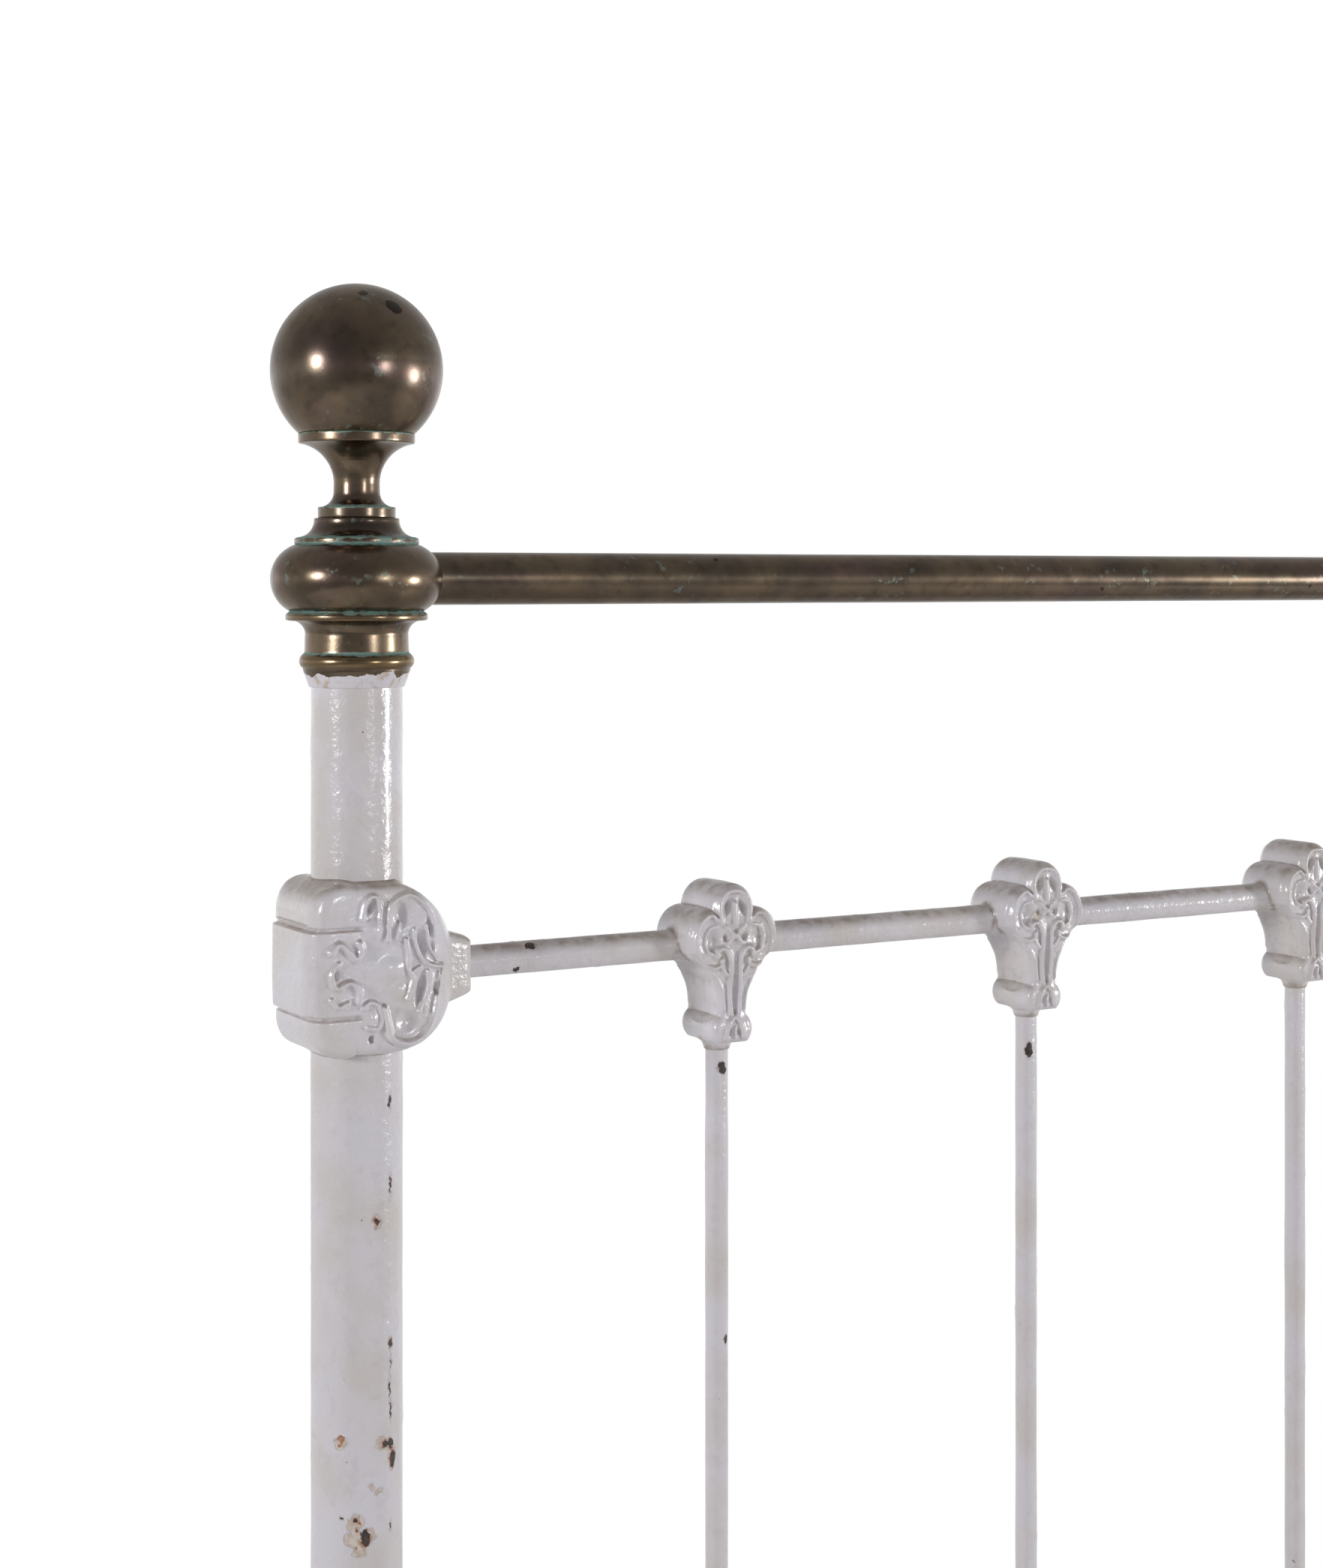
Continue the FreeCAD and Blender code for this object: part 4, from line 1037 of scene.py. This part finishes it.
def white_paint(name, chips, cores, chip_share, core_share):
    """Old glossy paint: chips down to a beige undercoat, some with rust and bare iron in their middle,
    grime with painted shade in the hollows and where castings grip the tubes, and dust with painted
    shade on the surfaces that face up."""
    f = Finish(name)
    ragged = f.wobbled(2.4, 2.0, 3)
    depth = chip_depth(f, ragged, chips, chip_share, (26, 11))
    core = f.math("MINIMUM", f.plus(depth, 0.3), chip_depth(f, ragged, cores, core_share, (19,)))
    bare = f.step(depth, -0.1, 0.1)
    iron = f.step(core, -0.12, 0.12)

    tone = f.step(f.noise(34, 3, 1), 0.38, 0.68)
    paint = f.layer(WHITE_PAINT, CREAM_PAINT, tone, 0.7)
    paint = f.layer(paint, srgb(180, 172, 176), f.step(f.noise(5, 4, 2), 0.52, 0.75), 0.18)
    wander = f.minus(f.noise(4, 4, 5), 0.5)
    # grime and painted shade: darker in the hollows and where a casting grips a tube
    dirt_and_shade = f.plus(f.value("cavity"), f.times(wander, 0.5))
    grip = f.plus(f.value("dirt_and_shade"), f.times(wander, 1.1))
    paint = f.layer(paint, GRIME_AND_SHADE, f.step(dirt_and_shade, 0.06, 0.5), 0.55)
    paint = f.layer(paint, DEEP_GRIME_AND_SHADE, f.step(dirt_and_shade, 0.4, 0.8), 0.7)
    paint = f.layer(paint, GRIME_AND_SHADE, f.step(grip, 0.45, 1.0), 0.6)
    paint = f.layer(paint, DEEP_GRIME_AND_SHADE, f.step(grip, 0.9, 1.3), 0.4)
    # dust, with painted shade: the surfaces that face up are darker and browner
    dust_and_top_shade = f.times(f.facing_up(0.25, 0.9), f.between(f.step(f.noise(6, 4, 6), 0.35, 0.65), 0.4, 0.8))
    paint = f.mix(dust_and_top_shade, paint, DUST_AND_TOP_SHADE)
    specks, speck_seed = f.cells(5.5, ragged)
    some = f.step(f.shuffled(speck_seed, 7.31), 0.94, 0.95)
    speck = f.times(some, f.minus(1, f.step(specks, 0.05, 0.1)))
    paint = f.layer(paint, DEEP_GRIME_AND_SHADE, speck, 0.75)

    under = f.mix(f.step(f.noise(2.4, 4, 12), 0.42, 0.6), UNDERCOAT, srgb(220, 210, 203))
    halo = f.times(f.step(core, -1.2, -0.2), f.step(f.noise(1.8, 4, 19), 0.4, 0.56))
    rusted = f.math("MAXIMUM", f.step(f.noise(3.2, 4, 14), 0.6, 0.66), halo)
    under = f.layer(under, RUST, rusted, 0.85)
    metal = f.mix(f.step(f.noise(1.6, 4, 13), 0.4, 0.7), IRON, srgb(84, 66, 58))
    colour = f.mix(bare, paint, f.mix(iron, under, metal))
    rim = f.times(f.step(depth, -0.75, -0.1), f.minus(1, bare))
    colour = f.layer(colour, srgb(150, 142, 144), rim, 0.3)

    rough = f.between(f.noise(7, 3, 15), 0.12, 0.32)
    rough = f.plus(rough, f.times(bare, 0.38))
    rough = f.plus(rough, f.times(f.step(grip, 0.45, 1.0), 0.25))
    lumps = f.times(f.noise(2.6, 3, 20), 0.62)
    waves = f.times(f.noise(9, 2, 21, stretch=(1, 1, 0.6)), 0.9)
    fine = f.times(f.noise(0.7, 2, 22), 0.035)
    surface = f.plus(f.plus(lumps, waves), fine)
    hollow = f.plus(f.times(f.step(depth, -0.3, 0.2), -0.34), f.times(iron, -0.14))
    normal = f.bumps(f.plus(surface, hollow), 0.65)
    return f.finished(colour, rough, 0.0, normal, IOR=1.5, Coat_Weight=0.35, Coat_Roughness=0.12)


def chip_depth(f, ragged, chips, share, sizes):
    """How far inside a chip each place is, in millimetres, negative on sound paint."""
    depth = -9.0
    for centre, radius, stretch in chips:
        away = f.vector("MULTIPLY", f.vector("SUBTRACT", ragged, centre), (1, 1, 1 / stretch))
        inside = f.minus(radius, f.vector("LENGTH", away, (0, 0, 0)))
        depth = f.math("MAXIMUM", depth, inside)
    for size in sizes:
        distance, seed = f.cells(size, ragged)
        chance = f.shuffled(seed, 5.77)
        radius = f.times(f.minus(chance, 1 - share), size * 0.26 / share)
        inside = f.minus(radius, f.times(distance, size))
        depth = f.math("MAXIMUM", depth, inside)
    return depth


def aged_brass(stains):
    """Brass under a dark bronze patina, with verdigris in the hollows and paint on the knobs' cones."""
    f = Finish("aged_brass")
    cavity = f.value("cavity")
    cloud = f.step(f.noise(22, 3, 1), 0.35, 0.7)
    mottle = f.step(f.noise(5, 5, 2), 0.45, 0.75)
    colour = f.mix(cloud, srgb(126, 110, 92), srgb(104, 93, 82))
    colour = f.layer(colour, srgb(78, 67, 58), mottle, 0.5)
    rubbed = f.step(f.times(cavity, -1), 0.05, 0.28)
    colour = f.layer(colour, srgb(150, 126, 88), rubbed, 0.5)
    tint = f.step(f.noise(16, 2, 4, stretch=(0.25, 1, 1)), 0.5, 0.7)
    colour = f.layer(colour, srgb(124, 92, 104), tint, 0.22)
    blot = f.step(f.noise(26, 4, 5, stretch=(0.3, 1, 1)), 0.58, 0.68)
    colour = f.layer(colour, srgb(66, 56, 56), blot, 0.4)
    spots, spot_seed = f.cells(9, f.wobbled(3, 1.2, 8))
    chance = f.step(f.shuffled(spot_seed, 3.7), 0.93, 0.95)
    spot = f.times(chance, f.minus(1, f.step(spots, 0.08, 0.16)))
    colour = f.layer(colour, srgb(38, 30, 26), spot, 0.8)

    stain = chip_depth(f, f.wobbled(3, 1.4, 9), stains, 0, ())
    colour = f.layer(colour, srgb(36, 30, 26), f.step(stain, -0.2, 0.3), 0.85)

    ragged = f.times(f.minus(f.noise(3.5, 5, 10), 0.5), 0.6)
    green = f.step(f.plus(cavity, ragged), 0.09, 0.3)
    # verdigris along the lines at the grooves' heights
    line = f.plus(f.value("dirt_and_shade"), f.times(ragged, 2.6))
    green = f.math("MAXIMUM", green, f.step(line, 0.45, 0.85))
    bloom = f.times(f.step(f.noise(3, 6, 11), 0.56, 0.7), f.step(f.noise(17, 2, 12), 0.5, 0.64))
    green = f.math("MAXIMUM", f.times(green, 0.85), f.times(bloom, 0.45))
    colour = f.mix(green, colour, f.mix(f.noise(2, 3, 13), srgb(96, 132, 124), srgb(140, 172, 164)))

    down = f.plus(f.value("painted"), f.times(f.minus(f.noise(7, 4, 16), 0.5), 9))
    painted = f.step(down, 0.4, 0.7)
    colour = f.mix(painted, colour, f.mix(f.step(f.noise(4, 3, 17), 0.5, 0.7), WHITE_PAINT, UNDERCOAT))
    metal = f.times(f.minus(1, painted), f.minus(1, green))
    rough = f.plus(f.between(f.noise(12, 4, 18), 0.15, 0.34), f.times(green, 0.35))
    height = f.plus(f.times(f.noise(1.1, 3, 20), 0.03), f.times(painted, 0.25))
    height = f.plus(height, f.times(green, 0.06))
    return f.finished(colour, rough, metal, f.bumps(height, 0.6))


def iron_finish(name, base, light, rust, share, roughness):
    """Bare or blackened iron with rust."""
    f = Finish(name)
    colour = f.mix(f.step(f.noise(9, 4, 1), 0.35, 0.7), base, light)
    rusted = f.step(f.noise(13, 6, 2), 0.66 - share * 0.35, 0.74 - share * 0.2)
    fine = f.step(f.noise(2.2, 5, 3), 0.5, 0.7)
    colour = f.mix(f.times(rusted, f.between(fine, 0.45, 0.95)), colour, rust)
    rough = f.plus(f.between(f.noise(4, 4, 4), roughness, roughness + 0.2), f.times(rusted, 0.2))
    height = f.plus(f.times(f.noise(1.2, 4, 5), 0.12), f.times(f.noise(7, 3, 6), 0.3))
    metal = f.between(rusted, 0.75, 0.1)
    return f.finished(colour, rough, metal, f.bumps(height, 0.5))


def china():
    """Ivory glazed china with a dulled tread and fine stains."""
    f = Finish("caster_china")
    colour = f.mix(f.step(f.noise(9, 4, 1), 0.4, 0.7), srgb(226, 219, 200), srgb(206, 192, 164))
    crack = f.cracks(5, f.wobbled(6, 1.5, 2))
    lines = f.minus(1, f.step(crack, 0.0, 0.035))
    colour = f.layer(colour, srgb(150, 128, 98), lines, 0.3)
    # grime and painted shade: darker in the wheel's hollows
    colour = f.layer(colour, GRIME_AND_SHADE, f.step(f.value("cavity"), 0.05, 0.35), 0.7)
    worn = f.step(f.noise(4, 4, 4), 0.45, 0.7)
    rough = f.between(worn, 0.12, 0.45)
    return f.finished(colour, rough, 0.0, f.bumps(f.noise(3, 3, 5), 0.25, 0.3), IOR=1.52)


# ---------------------------------------------------------------- pieces


def piece(node, shape, finish):
    """A piece that stands for a CAD node: it rides on the node's body and takes its place."""
    name = f"{node}_look"
    thing = placed(name, mesh_of(name, shape))
    thing.data.materials.append(finish)
    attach(thing, BODY_OF[node])
    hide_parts(node)
    return thing


# where the camera stands and looks, from the near post, level with the brass rail
PHOTO_VIEW = math.radians(30.06)
FORWARD = np.array([math.sin(PHOTO_VIEW), math.cos(PHOTO_VIEW), 0])
RIGHTWARD = np.array([math.cos(PHOTO_VIEW), -math.sin(PHOTO_VIEW), 0])
NEAR_POST = middle("head_post_left")
RAIL_HEIGHT = middle("head_brass_rail")[2]
EYE = np.array([NEAR_POST[0] - 425.6, NEAR_POST[1] - 988.5, RAIL_HEIGHT])
TO_EYE = (EYE - NEAR_POST) * (1, 1, 0)
TO_EYE /= np.linalg.norm(TO_EYE)
BESIDE = np.array([-TO_EYE[1], TO_EYE[0], 0])

# chips in the near post's paint: height below the brass rail, angle to the right of the side that faces
# the camera, radius, and how much taller than wide
POST_CHIPS = [
    (351, -20.7, 2.6, 1.0), (352.5, 31, 2.6, 1.0), (354, 44, 2.4, 1.2), (360, 49, 2.1, 2.1),
    (369.5, 19, 1.1, 1.4), (371.5, 28, 1.7, 0.8), (262, 26, 2.0, 1.4), (384, -1, 3.2, 1.2),
    (390, -5, 3.3, 1.0), (391, 6, 3.6, 1.0), (389, 15, 2.6, 1.0), (395, 3, 2.4, 1.0),
]
# a thin upright crack, in lengths
POST_CRACK = [
    (312.5, 46, 1.0, 2.0), (320, 46.5, 0.55, 5.0), (331, 45, 0.5, 9.0), (340, 46.5, 0.6, 6.0),
    (387, 46.5, 0.6, 3.0), (248, 46, 0.6, 7.0), (214, 45, 0.7, 4.0), (382, -19.4, 0.8, 1.0),
]
# where the chips go down to the iron, as the crack does along its middle
POST_CORES = [
    (353, 37, 1.4, 1.0), (353.5, 46, 1.7, 1.2), (360, 50, 1.6, 2.4), (262, 26, 1.2, 1.2),
    (390, 10.5, 1.9, 1.8), (382, -1.5, 0.8, 1.2), (387, 0, 0.7, 1.0),
]
CRACK_CORE = 0.8


def ball_spot(right, up):
    """A place on the near ball's skin, by how far it lies to the right of its middle and above it."""
    _, high = box("head_finial_ball_left")
    centre = np.array([NEAR_POST[0], NEAR_POST[1], high[2] - BALL_RADIUS])
    out = math.sqrt(BALL_RADIUS**2 - right**2 - up**2)
    return tuple(centre + BESIDE * right + TO_EYE * out + (0, 0, up))


def post_spot(height, angle):
    """A place on the near post's skin, by its height below the brass rail and the angle to the right of
    the side that faces the camera."""
    turn = math.radians(angle)
    out = (TO_EYE * math.cos(turn) + BESIDE * math.sin(turn)) * POST_RADIUS
    return tuple(NEAR_POST * (1, 1, 0) + out + (0, 0, RAIL_HEIGHT - height))


def on_post(table, share=1.0):
    """Chips of such a table as place, radius and stretch, with a share of their radius."""
    return [(post_spot(below, angle), radius * share, tall) for below, angle, radius, tall in table]


def rod_chips():
    """Chips on the upper rod and the spindles near the near post: place, radius and stretch."""
    upper = middle("head_upper_rod")
    low, _ = box("head_spindles")
    first = low[0] + SPINDLE_RADIUS
    gap = (upper[0] - first) / 3
    return [
        ((NEAR_POST[0] + 78, upper[1] - 5, upper[2] + 5.2), 2.6, 0.7),
        ((NEAR_POST[0] + 71, upper[1] - 6, upper[2] - 4.6), 1.7, 0.9),
        ((first, upper[1] - SPINDLE_RADIUS, upper[2] - 56), 2.1, 1.5),
        ((first + 2, upper[1] - 4.6, upper[2] - 177), 1.2, 1.6),
        ((first + gap - 2, upper[1] - 4.6, upper[2] - 64), 1.8, 2.0),
    ]


def build_end(end, finishes, shapes):
    """Everything of one end that stays put."""
    rail_node = f"{end}_brass_rail"
    rail_low, rail_high = box(rail_node)
    rail_long = rail_high[0] - rail_low[0]
    rail = bar((rail_high[2] - rail_low[2]) / 2, rail_long, 6, 96).uneven(70, 0.05, 11)
    rail = along_x(plain_brass(rail).with_cavity(2), rail_long).moved(*middle(rail_node))
    piece(rail_node, rail, finishes["brass"])
    low, high = box(f"{end}_spindles")
    spindle_places = spread(low[0] + SPINDLE_RADIUS, high[0] - SPINDLE_RADIUS, SPINDLES)
    for which in ("upper", "lower"):
        rod_node = f"{end}_{which}_rod"
        rod_low, rod_high = box(rod_node)
        long = rod_high[0] - rod_low[0]
        rod = along_x(painted_bar(ROD_RADIUS, long, 2.4, 48, len(end + which)).with_cavity(1), long)
        joints = [-x for x in spindle_places] + [-long / 2, long / 2]
        nearest = np.min([np.abs(rod.points[:, 0] - x) for x in joints], axis=0)
        # where the castings' edges grip the rod: grime and painted shade
        rod.values["dirt_and_shade"] = 0.85 * np.clip(1 - np.abs(nearest - 24) / 5, 0, 1)
        piece(rod_node, rod.moved(*middle(rod_node)), finishes["paint"])
    upper, lower = middle(f"{end}_upper_rod"), middle(f"{end}_lower_rod")
    groups = {"spindles": [], "upper_castings": [], "lower_castings": []}
    for i, x in enumerate(spindle_places):
        spindle = painted_bar(SPINDLE_RADIUS, high[2] - low[2], 2.6, 36, 20 + i).with_cavity(1)
        above = shapes["small"].moved(x, upper[1], upper[2]).uneven(9, 0.14, i)
        below = shapes["small"].turned("y", 180).moved(x, lower[1], lower[2]).uneven(9, 0.14, i + 9)
        groups["spindles"].append(spindle.moved(x, upper[1], low[2]))
        groups["upper_castings"].append(above)
        groups["lower_castings"].append(below)
    for name, group in groups.items():
        piece(f"{end}_{name}", joined(group), finishes["paint"])
    for side in SIDES:
        build_post(end, side, finishes, shapes)


def build_post(end, side, finishes, shapes):
    """A post with its castings and its finial."""
    post_node = f"{end}_post_{side}"
    low, high = box(post_node)
    x, y, _ = middle(post_node)
    tube = painted_bar(POST_RADIUS, high[2] - low[2], 2.1, 92, 30 + len(end + side)).with_cavity(1)
    piece(post_node, tube.moved(x, y, low[2]), finishes["post_paint"])
    neck_low, _ = box(f"{end}_finial_neck_{side}")
    _, ball_high = box(f"{end}_finial_ball_{side}")
    brass_ups = {
        "rail_knob": middle(f"{end}_brass_rail")[2],
        "finial_neck": neck_low[2],
        "finial_ball": ball_high[2] - BALL_RADIUS,
    }
    for name, up in brass_ups.items():
        piece(f"{end}_{name}_{side}", shapes[name].moved(x, y, up), finishes["brass"])
    facing = 0 if end == "head" else 180
    lower, hook = shapes["lower"], shapes["hook"]
    if (side == "left") != (end == "head"):
        lower, hook = lower.mirrored(), hook.mirrored()
    castings = {
        "upper": shapes["upper"].turned("z", 0 if side == "left" else 180),
        "lower": lower.turned("z", facing),
    }
    for which, casting in castings.items():
        up = middle(f"{end}_{which}_rod")[2]
        casting = casting.moved(x, y, up).uneven(11, 0.12, len(side))
        piece(f"{end}_{which}_corner_casting_{side}", casting, finishes["paint"])
    hook = hook.turned("z", facing).moved(x, y, middle(f"{end}_lower_rod")[2])
    piece(f"{end}_side_iron_hook_{side}", hook, finishes["iron_paint"])


def build_side_irons(paint):
    """The two side irons, whose ledges point into the bed."""
    for side, turn in zip(SIDES, (-90, 90)):
        low, high = box(f"side_iron_{side}")
        shape = side_iron(high[1] - low[1], high[2] - low[2], IRON_THICK).with_cavity(3)
        x = middle(f"head_post_{side}")[0]
        shape = shape.turned("z", turn).moved(x, (low[1] + high[1]) / 2, (low[2] + high[2]) / 2)
        piece(f"side_iron_{side}", shape, paint)


def build_laths(steel):
    """The laths, each bent a little by use, and the rivets that hold them."""
    low, high = box("cross_laths")
    rivet_low, rivet_high = box("lath_rivets")
    reach = rivet_high[0] - RIVET_HEAD
    pattern = lath(high[0] - low[0], LATH_WIDE, high[2] - low[2], reach)
    one_rivet = rivet(rivet_high[2] - rivet_low[2])
    laths, rivets = [], []
    for i, y in enumerate(spread(low[1] + LATH_WIDE / 2, high[1] - LATH_WIDE / 2, LATHS)):
        strip = pattern.moved(y=y, z=(low[2] + high[2]) / 2).uneven(30, 0.1, i).uneven(6, 0.05, i)
        points = strip.points.copy()
        free = 1 - (points[:, 0] / reach) ** 2
        points[:, 2] += free * noise(points * (1, 0.2, 0), 300, i)
        laths.append(strip.with_points(points))
        for x in (-reach, reach):
            rivets.append(one_rivet.turned("z", i * 40 + x).moved(x, y, rivet_low[2]).uneven(4, 0.15, i))
    piece("cross_laths", joined(laths).with_cavity(2), steel)
    piece("lath_rivets", joined(rivets).with_cavity(2), steel)


def build_ferrules(paint):
    """The collars under the four posts."""
    low, high = box("leg_ferrules")
    pattern = ferrule(COLLAR_TALL, high[2] - low[2], STEM_TOP + 1 - low[2])
    places = [middle(f"{end}_post_{side}") for end in ENDS for side in SIDES]
    shapes = [pattern.moved(x, y, low[2]).uneven(9, 0.12, 5) for x, y, _ in places]
    piece("leg_ferrules", joined(shapes), paint)


def build_casters(iron, steel, glaze):
    """The four casters: horn, axle and china wheel."""
    post = middle("head_post_left")
    hub = middle("head_caster_wheel_left")
    low, high = box("head_caster_wheel_left")
    _, axle_high = box("head_caster_axle_left")
    back = hub[1] - post[1]
    plate_up = box("leg_ferrules")[0][2] - SWIVEL_GAP
    horn_shape = horn(back, hub[2], plate_up, STEM_TOP)
    axle_shape = axle(axle_high[0] - hub[0])
    wheel_shape = wheel((high[2] - low[2]) / 2, high[0] - hub[0], AXLE_BORE)
    for end in ENDS:
        for side in SIDES:
            x, y, _ = middle(f"{end}_post_{side}")
            hub = middle(f"{end}_caster_wheel_{side}")
            piece(f"{end}_caster_horn_{side}", horn_shape.moved(x, y), iron)
            piece(f"{end}_caster_axle_{side}", axle_shape.moved(*hub), steel)
            piece(f"{end}_caster_wheel_{side}", wheel_shape.moved(*hub), glaze)


def main():
    chipped, cores = on_post(POST_CHIPS + POST_CRACK), on_post(POST_CORES) + on_post(POST_CRACK, CRACK_CORE)
    stains = [(ball_spot(2.6, 29.8), 2.2, 1.0), (ball_spot(14.9, 24.3), 3.6, 1.3)]
    finishes = {
        "paint": white_paint("white_paint", rod_chips(), rod_chips(), 0.02, 0.02),
        "post_paint": white_paint("post_paint", chipped, cores, 0.02, 0.015),
        "iron_paint": white_paint("side_iron_paint", [], [], 0.22, 0.2),
        "brass": aged_brass(stains),
    }
    bare = iron_finish("plain_iron", srgb(66, 60, 58), srgb(96, 88, 84), srgb(112, 66, 40), 0.3, 0.4)
    steel = iron_finish("lath_steel", srgb(70, 64, 62), srgb(104, 96, 92), srgb(128, 76, 44), 0.55, 0.42)
    horn_iron = iron_finish("caster_iron", srgb(36, 34, 34), srgb(58, 54, 52), srgb(104, 62, 38), 0.35, 0.38)
    pin = srgb(108, 104, 100)
    pin_steel = iron_finish("caster_steel", pin, srgb(140, 136, 130), srgb(110, 72, 46), 0.3, 0.32)
    shapes = {
        "small": small_casting(),
        "upper": upper_corner_casting(),
        "lower": lower_corner_casting(),
        "hook": hook_end(),
        "rail_knob": knob(),
        "finial_neck": neck(),
        "finial_ball": ball(),
    }
    for end in ENDS:
        build_end(end, finishes, shapes)
    build_side_irons(finishes["iron_paint"])
    build_laths(steel)
    build_ferrules(finishes["paint"])
    build_casters(horn_iron, pin_steel, china())
    for node in ("finial_studs", "post_plugs"):
        mesh = frame["nodes"][node].data
        mesh.materials.clear()
        mesh.materials.append(bare)


def camera():
    """A level camera at the height of the brass rail, shifted down to take in the post."""
    data = bpy.data.cameras.new("camera")
    data.sensor_fit = "VERTICAL"
    data.sensor_height = 36
    data.sensor_width = 36
    data.lens = 59.36
    data.shift_x = -0.0012
    data.shift_y = -0.131
    data.clip_start = 0.05
    thing = placed("camera", data)
    thing.location = Vector(EYE * MM)
    thing.rotation_euler = (math.pi / 2, 0, -PHOTO_VIEW)
    bpy.context.scene.camera = thing


def lamp(name, out, height, distance, size, power):
    """A soft lamp that shines at the near finial. `out` is its direction: rightward and backward."""
    data = bpy.data.lights.new(name, "AREA")
    data.shape = "DISK"
    data.size = size
    data.energy = power
    thing = placed(name, data)
    aim = Vector((NEAR_POST[0] * MM, NEAR_POST[1] * MM, RAIL_HEIGHT * MM))
    direction = Vector(RIGHTWARD * out[0] - FORWARD * out[1] + np.array([0, 0, height])).normalized()
    thing.location = aim + direction * distance
    thing.rotation_mode = "QUATERNION"
    thing.rotation_quaternion = direction.to_track_quat("Z", "Y")
    thing.visible_camera = False


def backdrop():
    """A white surround. What it lights and what mirrors in the brass is darker towards the camera and
    above, and brighter along the horizon."""
    world = bpy.data.worlds.new("studio")
    bpy.context.scene.world = world
    n = Nodes(world)
    place = n.new("TexCoord").outputs["Generated"]
    up = n.new("SeparateXYZ", {0: place}).outputs["Z"]
    away = n.ranged(n.vector("DOT_PRODUCT", place, tuple(FORWARD)), -1, 1, 0.2, 0.74)
    above = n.ranged(up, 0.05, 0.6, 1, 0.7)
    horizon = n.ranged(n.math("ABSOLUTE", up), 0, 0.2, 1.7, 1)
    strength = n.times(n.times(away, above), horizon)
    white = (1, 1, 1, 1)
    seen = n.new("Background", {"Color": white})
    unseen = n.new("Background", {"Color": white, "Strength": strength})
    camera_ray = n.new("LightPath").outputs["Is Camera Ray"]
    mixer = n.new("MixShader", {0: camera_ray, 1: unseen.outputs[0], 2: seen.outputs[0]})
    n.new("OutputWorld", {"Surface": mixer.outputs[0]})


def studio():
    """A pale floor, a white surround and three soft lamps."""
    radius, below = 2600, 0.4
    disc = lathe(np.array([(ON_AXIS, -below), (radius, -below)]), 128)
    thing = placed("floor", mesh_of("floor", disc))
    f = Finish("floor_paper")
    paper = f.mix(f.noise(400, 2, 1), srgb(236, 235, 233), srgb(243, 242, 240))
    thing.data.materials.append(f.finished(paper, 0.6))
    lamp("left_lamp", (-0.73, 0.67), 0.15, 3.0, 0.6, 36)
    lamp("right_lamp", (0.71, 0.70), 0.06, 3.2, 0.45, 12)
    lamp("side_lamp", (0.99, 0.02), -0.06, 3.0, 0.45, 24)
    backdrop()
    bpy.context.scene.view_settings.view_transform = "Standard"


main()
camera()
studio()
